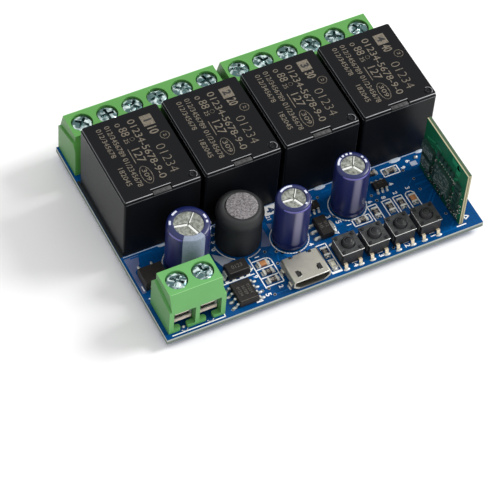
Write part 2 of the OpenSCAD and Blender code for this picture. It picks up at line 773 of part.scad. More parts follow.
// Upright board with a tongue that stands in the main board's slot
module radio_board() {
    tongue = (radio_l - slot_l) / 2;
    color("#1f6b3f") on_board() translate([radio_at[0] + radio_t / 2, radio_at[1], 0])
        along_x(radio_t) polygon([
            [0, 0], [0, radio_h], [radio_l, radio_h], [radio_l, 0],
            [radio_l - tongue, 0], [radio_l - tongue, -board_t], [tongue, -board_t], [tongue, 0]
        ]);
}

// Box on the radio board's left face: y, z, size along y, size along z and height
module radio_box(y, z, l, h, t) {
    on_board() translate([radio_at[0] - t, radio_at[1] + y, z]) cube([t, l, h]);
}

module radio_parts() {
    color("#202225") {
        radio_box(4.2, 3.2, 5, 5, 0.85);
        radio_box(11, 3, 3.2, 2.5, 0.75);
        radio_box(10.6, 6.6, 3.9, 2.4, 0.8);
        for (k = [0:5]) radio_box(1.2, 2.6 + 1.25 * k, 1.6, 0.8, 0.5);
        for (k = [0:4]) radio_box(3.9 + 1.3 * k, 9.3, 0.8, 1.3, 0.45);
        for (k = [0:2]) radio_box(8.9, 2.4 + 1.3 * k, 1.5, 0.8, 0.45);
    }
}

// Moulded body whose sides slope away from the parting line at mid height
module moulded(w, d, h, z = 0.1) {
    draft = 0.12;
    mid = z + h / 2;
    intersection() {
        along_x(w + 1) polygon([
            [-d / 2 + draft, z], [d / 2 - draft, z], [d / 2, mid], [d / 2 - draft, z + h],
            [-d / 2 + draft, z + h], [-d / 2, mid]
        ]);
        along_y(-d / 2 - 0.5, d + 1) polygon([
            [-w / 2 + draft, z], [w / 2 - draft, z], [w / 2, mid], [w / 2 - draft, z + h],
            [-w / 2 + draft, z + h], [-w / 2, mid]
        ]);
    }
}

module chip_body(c) {
    translate([c[0], c[1], 0]) rotate([0, 0, c[2]]) difference() {
        moulded(c[3], c[4], c[5] - 0.1);
        translate([-c[3] / 2 + 0.7, -c[4] / 2 + 0.6, c[5] - 0.08]) cylinder(r = 0.25, h = 0.2);
    }
}

module chip_legs(c) {
    translate([c[0], c[1], 0]) rotate([0, 0, c[2]]) for (i = [0:c[6] - 1], a = [0, 180])
        rotate([0, 0, a]) translate([(i - (c[6] - 1) / 2) * c[7], c[4] / 2, 0])
            gull_lead(0.42, c[5] / 2 - lead_t / 2, c[8], lead_t);
}

// Transistor and diode of relay driver i, on the underside
module at_driver(i) {
    on_board() translate([armature_x(i) + relay_mid, under_y, -board_t]) mirror([0, 0, 1]) children();
}

module chip_bodies() {
    color("#2b2a2a") {
        on_board() {
            for (c = CHIPS) chip_body(c);
            translate([diode_at[0], diode_at[1], 0]) moulded(4.3, 2.7, 2);
            translate([regulator_at[0], regulator_at[1], 0]) moulded(2.5, 4.5, 1.45);
        }
        for (i = [0:relays - 1]) at_driver(i) {
            translate([-2.5, 0, 0]) moulded(2.9, 1.3, 0.95);
            translate([2.5, 0, 0]) moulded(2.7, 1.6, 1);
        }
    }
}

module chip_leads() {
    color("#cfd1ce") {
        on_board() {
            for (c = CHIPS) chip_legs(c);
            for (s = [0, 180]) translate([diode_at[0], diode_at[1], 0]) rotate([0, 0, s])
                translate([2.15, 0, 0]) rotate([0, 0, -90]) gull_lead(1.4, 0.9, 0.55, lead_t);
            translate([regulator_at[0], regulator_at[1], 0]) {
                for (y = [-1.5, 0, 1.5]) translate([-1.25 - 1, y - 0.22, 0]) cube([1, 0.44, 0.4]);
                translate([1.25, -0.85, 0]) cube([0.85, 1.7, 0.4]);
            }
            for (p = CHIP_2) translate([p[0], p[1], 0]) rotate([0, 0, p[2]]) for (s = [-1, 1])
                translate([s * (chip_l - cap_l) / 2, 0, 0]) block(cap_l, chip_w, chip_h);
        }
        for (i = [0:relays - 1]) at_driver(i) {
            translate([-2.5, 0, 0]) {
                for (x = [-0.95, 0.95]) translate([x, 0.65, 0]) gull_lead(0.4, 0.4, 0.5, lead_t);
                rotate([0, 0, 180]) translate([0, 0.65, 0]) gull_lead(0.4, 0.4, 0.5, lead_t);
            }
            for (s = [0, 180]) translate([2.5, 0, 0]) rotate([0, 0, s])
                translate([1.35, 0, 0]) rotate([0, 0, -90]) gull_lead(0.6, 0.4, 0.45, lead_t);
        }
    }
}

// Ceramic bodies of the resistors, capacitors and the status lamp
module passives() {
    color("#5b4a3c") on_board() for (p = CHIP_2)
        translate([p[0], p[1], 0]) rotate([0, 0, p[2]]) block(chip_l - 2 * cap_l, chip_w, chip_h - 0.03);
}

main_board();
left_output_housing();
right_output_housing();
power_input_housing();
terminal_contacts();
relay_cases();
relay_bases();
relay_coils();
relay_frames();
relay_contacts();
capacitor_cans();
capacitor_sleeves();
coil_drum();
coil_sleeve();
usb_shell();
usb_insulator();
switch_bases();
switch_covers();
switch_contacts();
radio_board();
radio_parts();
chip_bodies();
chip_leads();
passives();
output_screw(1);  // output_screw_1
output_screw(2);  // output_screw_2
output_screw(3);  // output_screw_3
output_screw(4);  // output_screw_4
output_screw(5);  // output_screw_5
output_screw(6);  // output_screw_6
output_screw(7);  // output_screw_7
output_screw(8);  // output_screw_8
output_screw(9);  // output_screw_9
output_screw(10);  // output_screw_10
output_screw(11);  // output_screw_11
output_screw(12);  // output_screw_12
power_screw(1);  // power_screw_1
power_screw(2);  // power_screw_2
output_cage(1);  // output_cage_1
output_cage(2);  // output_cage_2
output_cage(3);  // output_cage_3
output_cage(4);  // output_cage_4
output_cage(5);  // output_cage_5
output_cage(6);  // output_cage_6
output_cage(7);  // output_cage_7
output_cage(8);  // output_cage_8
output_cage(9);  // output_cage_9
output_cage(10);  // output_cage_10
output_cage(11);  // output_cage_11
output_cage(12);  // output_cage_12
power_cage(1);  // power_cage_1
power_cage(2);  // power_cage_2
armature(1);  // armature_1
armature(2);  // armature_2
armature(3);  // armature_3
armature(4);  // armature_4
button(1);  // button_1
button(2);  // button_2
button(3);  // button_3
button(4);  // button_4
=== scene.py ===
import math
import random

import bmesh
import bpy
from bpy.props import FloatProperty, FloatVectorProperty, IntProperty, PointerProperty
from mathutils import Matrix, Vector


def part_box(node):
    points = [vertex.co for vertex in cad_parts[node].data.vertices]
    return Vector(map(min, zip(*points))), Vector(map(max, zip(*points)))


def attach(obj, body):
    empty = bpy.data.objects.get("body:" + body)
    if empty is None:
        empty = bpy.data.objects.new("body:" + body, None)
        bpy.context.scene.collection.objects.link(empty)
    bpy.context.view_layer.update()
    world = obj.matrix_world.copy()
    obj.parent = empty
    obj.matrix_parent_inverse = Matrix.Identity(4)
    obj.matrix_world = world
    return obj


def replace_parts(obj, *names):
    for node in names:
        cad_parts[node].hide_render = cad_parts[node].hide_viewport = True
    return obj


bl_info = {
    "name": "Smart Relay Module",
    "version": (1, 0, 0),
    "blender": (4, 5, 0),
    "location": "View3D > Sidebar > Relay Module",
    "description": "Dresses a four-relay board with its print, solder, marks and finishes",
    "category": "Object",
}

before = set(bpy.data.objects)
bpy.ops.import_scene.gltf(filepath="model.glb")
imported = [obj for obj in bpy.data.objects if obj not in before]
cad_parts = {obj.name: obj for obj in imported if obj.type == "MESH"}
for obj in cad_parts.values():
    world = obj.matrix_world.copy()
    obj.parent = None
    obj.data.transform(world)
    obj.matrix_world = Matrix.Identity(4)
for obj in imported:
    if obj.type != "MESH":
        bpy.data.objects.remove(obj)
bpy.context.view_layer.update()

MM = 0.001
BOARD = "board_assembly"
BOARD_LOW, BOARD_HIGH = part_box("main_board")
# Places below are in mm from the front left corner of the board's top face
ON_BOARD = Matrix.Translation((BOARD_LOW.x, BOARD_LOW.y, BOARD_HIGH.z)) @ Matrix.Scale(MM, 4)
BOARD_W, BOARD_D, BOARD_T = [(high - low) / MM for low, high in zip(BOARD_LOW, BOARD_HIGH)]

RELAY_W, RELAY_L, RELAY_H = 15.2, 19.0, 15.5
RELAY_Y, RELAY_PITCH = 19.95, 16.05
RELAY_X = [0.675 + RELAY_PITCH * i for i in range(4)]
# The case's latch notch starts this far along its front
NOTCH = RELAY_W * 0.37
POLE_PITCH = 5.08
POLE_X = [middle + (i - 2.5) * POLE_PITCH for middle in (16.2, 48.3) for i in range(6)]
POWER_X = [3.82, 8.9]
# Screw terminals: the power block's face, then how far its brow and its solder legs lie behind a face
POWER_FACE, BROW_BACK, LEG_BACK = 1.05, 1.15, 6.45
# Capacitors: x, y, diameter, height, lead spacing
CAPS = [(10.5, 14.1, 8.1, 11.9, 3.5), (30.2, 11.5, 6.6, 12.0, 2.5), (43.45, 13.8, 6.6, 12.0, 2.5)]
COIL = (21.4, 15.1, 9.0)
COIL_LEADS = 5.0
USB = (29.1, 0.3, 7.5, 5.6, 2.6)
USB_CONTACTS = [USB[0] + 0.65 * (i - 2) for i in range(5)]
SWITCH_X = [38 + 5.4 * i for i in range(4)]
SWITCH_Y, SWITCH_W, SWITCH_H = 3.8, 4.5, 3.5
RADIO_X, RADIO_Y, RADIO_L, RADIO_H = 60.2, 1.3, 15.2, 14.1
# The radio board's chips: y, z, length, height, thickness, legs a side and painted glints on the face
RADIO_CHIPS = [
    (4.2, 3.2, 5, 5, 0.85, 8, 140), (11, 3, 3.2, 2.5, 0.75, 4, 56), (10.6, 6.6, 3.9, 2.4, 0.8, 0, 60),
]
# Chips: x, y, turn, leads a side, lead spacing, body depth and reach of the leads
CHIPS = [
    (3.45, 13.1, 0, 2, 2.54, 3.9, 1.5), (16.9, 3.35, 90, 4, 1.27, 3.9, 1.05),
    (37, 15.9, 0, 3, 0.95, 1.6, 0.6), (51, 15.2, 0, 3, 0.95, 1.6, 0.6),
]
DIODE = (17.8, 8.35)
REGULATOR = (36.7, 10.6)
# Two-ended parts: x, y, turn
RESISTORS = [
    (23.1, 6.1, 0), (23.1, 4.15, 0), (34.6, 5.75, 90), (44.3, 9.55, 0), (47.5, 10.05, 90), (50.5, 10.05, 90),
    (52.85, 10.05, 90), (54.6, 17.6, 0), (50.9, 18.4, 0),
]
CHIP_CAPS = [(23.0, 8.05, 0), (55.35, 10.05, 90)]
LAMP = (34.6, 2.7, 90)
# Heights in mm of screen print, of laser marks and of the film printed on a sleeve
INK, MARK, FILM = 0.045, 0.02, 0.015
# The wave texture repeats every pi / 10 of its scaled place
WAVE = math.pi / 10
NOISE_SETTINGS = ("Detail", "Roughness", "Distortion")


def linear(colour, factor=1.0):
    """Linear RGBA of an sRGB hex colour, or of a linear one, made lighter or darker by a factor."""
    if isinstance(colour, str):
        parts = [int(colour[i:i + 2], 16) / 255 for i in (1, 3, 5)]
        colour = [c / 12.92 if c <= 0.04045 else ((c + 0.055) / 1.055) ** 2.4 for c in parts]
    return [min(1.0, c * factor) for c in colour[:3]] + [1.0]


def per_mm(size):
    """Texture scale whose features are about this many millimetres across."""
    return 1 / (size * MM)


def board_box(node):
    """The corners of a CAD node's box in board millimetres."""
    return [ON_BOARD.inverted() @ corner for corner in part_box(node)]


def numbered(name, count):
    return ["%s_%d" % (name, i + 1) for i in range(count)]


def add_node(tree, kind, inputs=None, out=0, **settings):
    """Adds one shader node, sets it, fills inputs with values or links, and hands on one of its outputs."""
    node = tree.nodes.new("ShaderNode" + kind)
    for name, value in settings.items():
        setattr(node, name, value)
    for name, value in (inputs or {}).items():
        if isinstance(value, bpy.types.NodeSocket):
            tree.links.new(value, node.inputs[name])
        else:
            node.inputs[name].default_value = value
    return node.outputs[out]


def new_material(name, **sockets):
    """Starts a material and sets the shader's plain numbers; spaces in socket names are underscores."""
    material = bpy.data.materials.new(name)
    material.use_nodes = True
    shader = material.node_tree.nodes["Principled BSDF"]
    for socket, value in sockets.items():
        shader.inputs[socket.replace("_", " ")].default_value = value
    return material, material.node_tree


def join(tree, **links):
    """Links outputs to the shader's sockets."""
    for socket, value in links.items():
        tree.links.new(value, tree.nodes["Principled BSDF"].inputs[socket.replace("_", " ")])


def overlay(tree, factor, colour):
    """Lays a colour over the base colour, as far as the factor says."""
    under = tree.nodes["Principled BSDF"].inputs["Base Color"].links[0].from_socket
    join(tree, Base_Color=add_node(tree, "Mix", {0: factor, 6: under, 7: colour}, 2, data_type="RGBA"))


def facing(tree, axis):
    """How squarely a surface faces along an axis, to either side."""
    normal = add_node(tree, "TexCoord", out="Normal")
    return add_node(tree, "Math", {0: add_node(tree, "SeparateXYZ", {0: normal}, axis)}, operation="ABSOLUTE")


def two_tone(name, tones, spots, gloss=None, relief=None, grain=None, clump=(0.0, 1.0), band=(0.0, 1.0),
             stretch=1.0, **sockets):
    """Finish whose colour, gloss and relief follow noise of a real size.

    Spots and grain are each a feature's size in mm, then the noise's detail, roughness and distortion. The
    spots move the colour between two tones across the clump. The grain, or the spots where there is none,
    moves the gloss between two roughnesses across the band, and lifts the relief, which is a strength and a
    height in mm.
    """
    material, tree = new_material(name, **sockets)
    place = add_node(tree, "TexCoord", out="Object")
    if stretch != 1.0:
        place = add_node(tree, "Mapping", {"Vector": place, "Scale": (1, 1, stretch)})
    drift, fine = [add_node(tree, "TexNoise", {"Vector": place, "Scale": per_mm(size),
                                               **dict(zip(NOISE_SETTINGS, settings))})
                   for size, *settings in (spots, grain or spots)]
    factor = add_node(tree, "MapRange", {"Value": drift, "From Min": clump[0], "From Max": clump[1]})
    join(tree, Base_Color=add_node(tree, "Mix", {0: factor, 6: linear(tones[0]), 7: linear(tones[1])}, 2,
                                   data_type="RGBA"))
    if gloss:
        join(tree, Roughness=add_node(tree, "MapRange", {
            "Value": fine, "From Min": band[0], "From Max": band[1], "To Min": gloss[0], "To Max": gloss[1]}))
    if relief:
        join(tree, Normal=add_node(tree, "Bump", {
            "Height": fine, "Strength": relief[0], "Distance": relief[1] * MM}))
    return material


# Finishes

def moulded_plastic(name, colour, shade, roughness, grain, relief, ends=1.0, blotch=3.0, **sockets):
    """Injection-moulded plastic: two close shades that drift, and the fine grain of the tool.

    Faces across X carry painted shade: their colour is darker by the factor ends.
    """
    material = two_tone(name, (colour, shade), (blotch, 3.0), (roughness - 0.05, roughness + 0.07),
                        (0.5, relief), (grain, 2.0), **sockets)
    if ends < 1.0:
        tree = material.node_tree
        # Painted shade: the more squarely a face looks along X, the darker it is painted
        dull = add_node(tree, "MapRange", {"Value": facing(tree, "X"), "From Min": 0.6, "From Max": 0.95})
        overlay(tree, dull, linear(colour, ends))
    return material


def relay_polyester(name, colour):
    """Black polyester case: end walls polished by the mould, the rest fine matt for the laser print."""
    material = two_tone(name, (colour, linear(colour, 0.7)), (4, 3.0), (0.26, 0.4), (0.5, 0.02), (0.16, 2.0))
    tree = material.node_tree
    join(tree, Specular_IOR_Level=add_node(tree, "MapRange", {
        "Value": facing(tree, "X"), "From Min": 0.5, "From Max": 0.95, "To Min": 0.11, "To Max": 0.17}))
    return material


def plated_metal(name, colour, shade, roughness, grain, relief, metallic=1.0):
    """Plated or tinned metal: a drift between two tones and shallow drawn or brushed marks."""
    return two_tone(name, (colour, shade), (0.8, 4.0), (roughness - 0.08, roughness + 0.12), (0.5, relief),
                    (grain, 3.0), Metallic=metallic)


def formed_screw(name):
    """Cold-formed and zinc-plated head: its dents break the shine, and dark and bright blue-green flecks 0.8
    mm across are painted reflections in its colour.
    """
    flecks = (0.46, 0.66)
    # The two tones are painted reflections, laid out in flecks
    return two_tone(name, ("#567070", "#dff1ef"), (0.95, 1.5, 0.5, 0.5), (0.35, 0.12), (0.8, 0.4),
                    clump=flecks, band=flecks, Metallic=1.0)


def speckled_ferrite(name):
    """Pressed and sintered ferrite: matte dark grey with pale grains about 0.3 mm across."""
    return two_tone(name, ("#4e4b4d", "#9d999b"), (0.34, 3.0, 0.75), None, (0.6, 0.05), clump=(0.36, 0.66),
                    Roughness=0.75, Specular_IOR_Level=0.2)


def etched_aluminium(name):
    """Drawn and etched can aluminium: bright satin with cloudy patches on the scored disc."""
    return two_tone(name, ("#6a6e66", "#b3b6ad"), (0.55, 5.0, 0.65), (0.2, 0.55), (0.4, 0.04),
                    clump=(0.35, 0.65), Metallic=1.0)


def printed_ink(name, colour, wear):
    """Screen or laser print: slightly broken where the surface under it is rough."""
    return two_tone(name, (linear(colour, wear), colour), (0.3, 3.0), clump=(0.35, 0.6), Roughness=0.55)


def reflowed_solder(name):
    """Reflowed solder: bright, slightly grainy fillets with soft dents."""
    return two_tone(name, ("#8b8e88", "#fafaf5"), (0.35, 3.0), (0.12, 0.42), (0.8, 0.14), Metallic=0.4)


def lamp_resin(name):
    """Cast resin over the lamp's chip: pale yellow, a little see-through."""
    return two_tone(name, ("#e9e6c8", "#fbfaf0"), (0.6, 2.0), Roughness=0.25, Subsurface_Weight=0.4,
                    Subsurface_Radius=(0.3 * MM, 0.3 * MM, 0.2 * MM))


def raised_mask(name, colour, shade):
    """Solder mask where it runs over a copper track, so it is brighter and stands a little proud."""
    return moulded_plastic(name, colour, shade, 0.26, 0.7, 0.01, Specular_IOR_Level=0.1)


def wound_copper(name):
    """Enamelled copper wire: its 0.1 mm turns are drawn as rings 0.2 mm apart, so that they show."""
    material, tree = new_material(name, Metallic=0.8, Roughness=0.35)
    place = add_node(tree, "TexCoord", out="Object")
    turns = add_node(tree, "TexWave", {"Vector": place, "Scale": WAVE * per_mm(0.1973), "Distortion": 0.4},
                     "Fac", bands_direction="Z")
    tint = add_node(tree, "Mix", {0: turns, 6: linear("#6b3216"), 7: linear("#c27a43")}, 2, data_type="RGBA")
    bump = add_node(tree, "Bump", {"Height": turns, "Strength": 0.7, "Distance": 0.04 * MM})
    join(tree, Base_Color=tint, Normal=bump)
    return material


def shrink_sleeve(name, colour, shade, roughness, relief, coat, sheen_colour=None):
    """Printed shrink sleeve: glossy film that ripples a little where it was shrunk.

    A colour given last paints a paler band down the side, where the sleeve was pressed flat in storage, as a
    painted sheen; painted shade also darkens the shoulder where it faces up.
    """
    material = two_tone(name, (colour, shade), (1.5, 3.0), (roughness - 0.06, roughness + 0.1), (0.4, relief),
                        (0.9, 4.0), stretch=0.25, Coat_Weight=coat, Coat_Roughness=0.12)
    if sheen_colour:
        tree = material.node_tree
        normal = add_node(tree, "TexCoord", out="Normal")
        # The painted sheen faces the front
        fold_side = Matrix.Rotation(math.radians(-98), 3, "Z") @ Vector((1, 0, 0))
        toward = add_node(tree, "VectorMath", {0: normal, 1: fold_side}, "Value", operation="DOT_PRODUCT")
        fold_sheen = add_node(tree, "MapRange", {"Value": toward, "From Min": 0.955, "To Max": 0.75},
                        interpolation_type="SMOOTHSTEP")
        overlay(tree, fold_sheen, linear(sheen_colour))
        # Painted shade: the shoulder is darkened where it faces up
        up = add_node(tree, "SeparateXYZ", {0: normal}, "Z")
        shoulder_shade = add_node(tree, "MapRange", {"Value": up, "From Min": 0.1, "From Max": 0.5, "To Max": 0.85})
        overlay(tree, shoulder_shade, linear("#0d1a50"))
    return material


def solder_mask(name, mask, deep, edge, thin_axis, half_sizes=None):
    """Glossy mask over glass-fibre board: a faint weave shows through, and the cut edges are bare.

    Half sizes are those of an outline: walls inside it are plated holes, which show tin.
    """
    material, tree = new_material(name, Specular_IOR_Level=0.1)
    place = add_node(tree, "TexCoord", out="Object")
    # The glass cloth's yarns are about 0.6 mm apart, and are drawn 1 mm apart so that they show
    weave = [add_node(tree, "TexWave", {"Vector": place, "Scale": WAVE * per_mm(0.9865), "Distortion": 0.6,
                                        "Detail": 1.0}, "Fac", bands_direction=axis)
             for axis in "XYZ" if axis != thin_axis]
    cloth = add_node(tree, "Math", {0: weave[0], 1: weave[1]}, operation="MULTIPLY")
    pour = add_node(tree, "TexNoise", {"Vector": place, "Scale": per_mm(7), "Detail": 2.0})
    mixed = add_node(tree, "Math", {0: cloth, 1: 0.25, 2: pour}, operation="MULTIPLY_ADD")
    tint = add_node(tree, "Mix", {0: mixed, 6: linear(deep), 7: linear(mask)}, 2, data_type="RGBA")
    join(tree, Base_Color=tint)

    wall = add_node(tree, "Math", {0: facing(tree, thin_axis), 1: 0.5}, operation="LESS_THAN")
    spots = add_node(tree, "TexNoise", {"Vector": place, "Scale": per_mm(0.25), "Detail": 4.0})
    laminate = add_node(tree, "Mix", {0: spots, 6: linear(edge), 7: linear(edge, 0.6)}, 2, data_type="RGBA")
    if half_sizes:
        # Painted light on the cut edge: a pale rim at the top as painted highlight, darker below as painted
        # shade
        height = add_node(tree, "SeparateXYZ", {0: place}, "Z")
        rim = add_node(tree, "MapRange", {"Value": height, "From Min": BOARD_HIGH.z - 0.55 * MM,
                                          "From Max": BOARD_HIGH.z - 0.35 * MM})
        laminate = add_node(tree, "Mix", {0: rim, 6: linear("#727b74"), 7: laminate}, 2, data_type="RGBA")
    overlay(tree, wall, laminate)
    if half_sizes:
        outside = []
        for axis, half in zip("XY", half_sizes):
            along = add_node(tree, "SeparateXYZ", {0: place}, axis)
            away = add_node(tree, "Math", {0: along}, operation="ABSOLUTE")
            outside.append(add_node(tree, "Math", {0: away, 1: half - 0.02 * MM}, operation="GREATER_THAN"))
        outline = add_node(tree, "Math", {0: outside[0], 1: outside[1]}, operation="MAXIMUM")
        barrel = add_node(tree, "Math", {0: wall, 1: outline}, operation="SUBTRACT", use_clamp=True)
        overlay(tree, barrel, linear("#b9bcb8"))
        join(tree, Metallic=barrel)
    gloss = add_node(tree, "MapRange", {"Value": wall, "To Min": 0.24, "To Max": 0.75})
    peel = add_node(tree, "TexNoise", {"Vector": place, "Scale": per_mm(0.7), "Detail": 3.0})
    bump = add_node(tree, "Bump", {"Height": peel, "Strength": 0.25, "Distance": 0.03 * MM})
    join(tree, Roughness=gloss, Normal=bump)
    return material


# Shapes, in board millimetres

def slab(bm, corner, opposite, soft=0.0):
    """Adds a box between two opposite corners, its edges rounded by soft."""
    size = [abs(b - a) for a, b in zip(corner, opposite)]
    middle = [(a + b) / 2 for a, b in zip(corner, opposite)]
    place = Matrix.Translation(middle) @ Matrix.Diagonal((*size, 1.0))
    made = bmesh.ops.create_cube(bm, size=1.0, matrix=place)
    if soft:
        edges = list({edge for vert in made["verts"] for edge in vert.link_edges})
        bmesh.ops.bevel(bm, geom=edges, offset=soft, segments=2, profile=0.5, affect="EDGES", material=-1,
                        clamp_overlap=True)


def block(bm, x, y, width, depth, low, high, soft=0.0):
    """Adds a box about a middle, between two heights."""
    slab(bm, (x - width / 2, y - depth / 2, low), (x + width / 2, y + depth / 2, high), soft)


def chip_block(bm, part, along, long, wide, low, high, soft=0.0):
    """Adds a box on a two-ended part, a way along from its middle and turned as the part is."""
    x, y, turn = part
    middle = turned(x, y, 0, turn) @ Vector((along, 0, 0))
    block(bm, middle.x, middle.y, *((wide, long) if turn else (long, wide)), low, high, soft)


def post(bm, x, y, low, high, radius, top_radius=None, segments=16):
    """Adds a round post or cone between two heights."""
    bmesh.ops.create_cone(bm, cap_ends=True, segments=segments, radius1=radius,
                          radius2=radius if top_radius is None else top_radius, depth=high - low,
                          matrix=Matrix.Translation((x, y, (low + high) / 2)))


def mound(bm, x, y, z, size_x, size_y, rise, turn=0.0):
    """Adds a low rounded heap of solder, half sunk in what carries it."""
    bmesh.ops.create_icosphere(bm, subdivisions=2, radius=1.0, matrix=turned(x, y, z, turn)
                               @ Matrix.Diagonal((size_x / 2, size_y / 2, rise, 1.0)))


def stroke(bm, points, width, low=0.0, high=INK):
    """Adds a flat line of print or copper through the points, round at its corners."""
    for (ax, ay), (bx, by) in zip(points, points[1:]):
        turn = math.degrees(math.atan2(by - ay, bx - ax))
        place = turned((ax + bx) / 2, (ay + by) / 2, (low + high) / 2, turn)
        size = Matrix.Diagonal((math.hypot(bx - ax, by - ay), width, high - low, 1.0))
        bmesh.ops.create_cube(bm, size=1.0, matrix=place @ size)
    for x, y in points[1:-1]:
        post(bm, x, y, low, high, width / 2, segments=8)


def plate(bm, points, high):
    """Adds a flat plate with the given outline on the board."""
    rings = [[bm.verts.new((x, y, z)) for x, y in points] for z in (0, high)]
    bm.faces.new(rings[0])
    bm.faces.new(rings[1])
    for i in range(len(points)):
        bm.faces.new((rings[0][i - 1], rings[0][i], rings[1][i], rings[1][i - 1]))


def arc(x, y, radius, start, end, steps=20):
    angles = [math.radians(start + (end - start) * i / steps) for i in range(steps + 1)]
    return [(x + radius * math.cos(angle), y + radius * math.sin(angle)) for angle in angles]


def rectangle(left, front, right, back):
    return [(left, front), (right, front), (right, back), (left, back), (left, front)]


def number(bm, text, place, size, length=None, thick=INK, weight=0.02):
    """Adds plain figures as a thin raised print about a middle, stretched to a length if one is given."""
    curve = bpy.data.curves.new("figures", "FONT")
    curve.body, curve.size, curve.extrude, curve.offset = text, size, thick / 2, weight * size
    curve.align_x, curve.align_y, curve.resolution_u = "CENTER", "CENTER", 3
    carrier = bpy.data.objects.new("figures", curve)
    bpy.context.scene.collection.objects.link(carrier)
    graph = bpy.context.evaluated_depsgraph_get()
    mesh = bpy.data.meshes.new_from_object(carrier.evaluated_get(graph))
    across = [vert.co.x for vert in mesh.vertices]
    stretch = length / (max(across) - min(across)) if length else 1.0
    mesh.transform(place @ Matrix.Diagonal((stretch, 1, 1, 1)) @ Matrix.Translation((0, 0, thick / 2)))
    bm.from_mesh(mesh)
    bpy.data.objects.remove(carrier)
    bpy.data.curves.remove(curve)
    bpy.data.meshes.remove(mesh)


def turned(x, y, z, degrees):
    return Matrix.Translation((x, y, z)) @ Matrix.Rotation(math.radians(degrees), 4, "Z")


# Pieces

def finish_piece(name, bm, material, body=BOARD):
    """Turns a bmesh in board millimetres into a piece at the origin that rides on a body."""
    bmesh.ops.recalc_face_normals(bm, faces=bm.faces)
    bm.transform(ON_BOARD)
    mesh = bpy.data.meshes.new(name)
    bm.to_mesh(mesh)
    bm.free()
    for face in mesh.polygons:
        face.use_smooth = True
    mesh.set_sharp_from_angle(angle=math.radians(35))
    mesh.materials.append(material)
    piece = bpy.data.objects.new(name, mesh)
    bpy.context.scene.collection.objects.link(piece)
    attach(piece, body)
    return piece


def dressed_node(work, node, material, edge=0.0, body=BOARD):
    """Stands for a CAD node: a merged copy of it, smooth where it is round, with its edges rounded."""
    bm = bmesh.new()
    bm.from_mesh(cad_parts[node].data)
    bm.transform(ON_BOARD.inverted())
    bmesh.ops.remove_doubles(bm, verts=bm.verts, dist=0.002)
    if edge:
        bmesh.ops.dissolve_limit(bm, angle_limit=math.radians(1), verts=bm.verts, edges=bm.edges)
        sharp = [e for e in bm.edges if e.is_manifold and e.calc_face_angle(0) > math.radians(40)]
        bmesh.ops.bevel(bm, geom=sharp, offset=edge, segments=2, profile=0.5, affect="EDGES", material=-1,
                        clamp_overlap=True)
    piece = finish_piece(work + "_" + node, bm, material, body)
    # Keeps the broad flat faces even beside their rounded edges
    piece.modifiers.new("weighted normals", "WEIGHTED_NORMAL").keep_sharp = True
    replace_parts(piece, node)


def finish_node(node, material):
    """Gives a CAD node its finish."""
    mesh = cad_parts[node].data
    mesh.materials.clear()
    mesh.materials.append(material)


def colour_choice(name, description, value):
    return FloatVectorProperty(name=name, description=description, subtype="COLOR", default=linear(value)[:3],
                               min=0, max=1)


def millimetres(name, description, default, low, high):
    return FloatProperty(name=name, description=description + ", in millimetres", default=default, min=low,
                         max=high)


class RelayModuleColours(bpy.types.PropertyGroup):
    mask: colour_choice("Solder mask", "Blue of the main board's solder mask", "#064e8a")
    mask_deep: colour_choice("Bare laminate under the mask", "Darker blue between the copper areas",
                             "#053a6b")
    board_edge: colour_choice("Board edge", "Cut glass-fibre edge of the main board", "#c2c8c0")
    radio_mask: colour_choice("Radio board mask", "Green of the upright board's mask", "#1a6647")
    terminal: colour_choice("Terminal housing", "Green polyamide of the screw terminals", "#63a95d")
    relay: colour_choice("Relay case", "Black of the relay cases", "#121316")
    relay_print: colour_choice("Relay print", "Laser print on the relay tops", "#756c5d")
    sleeve: colour_choice("Capacitor sleeve", "Violet-blue film round the capacitors", "#1f245c")
    stripe: colour_choice("Polarity stripe", "Pale stripe on the input capacitor", "#8c98ab")


class RelayModuleSizes(bpy.types.PropertyGroup):
    print_line: millimetres("Print line", "Width of the white lines on the board", 0.2, 0.05, 0.4)
    track_rise: millimetres("Track rise", "How far mask stands up over a copper track", 0.03, 0.01, 0.1)
    case_edge: millimetres("Relay edge", "Rounding of the relay cases' edges", 0.12, 0.02, 0.2)
    housing_edge: millimetres("Terminal edge", "Rounding of the terminal housings' edges", 0.1, 0.02, 0.2)
    solder_rise: millimetres("Solder rise", "Height of the solder at a surface-mounted foot", 0.22, 0.05, 0.4)
    seed: IntProperty(name="Seed", description="Order of the radio board's small parts and solder dots",
                      default=7, min=0)


class RelayModuleStage(bpy.types.PropertyGroup):
    floor: colour_choice("Floor", "Colour of the pale floor", "#fafafa")
    sky: FloatProperty(name="Soft light", description="Strength of the even light from all round",
                       default=0.82, min=0, max=2)
    key: FloatProperty(name="Key light", description="Power of the soft lamp on the right",
                       unit="POWER", default=5.3, min=0, max=50)
    lens: FloatProperty(name="Lens", description="Focal length of the camera",
                        unit="CAMERA", subtype="DISTANCE_CAMERA", default=184.72, min=20, max=400)


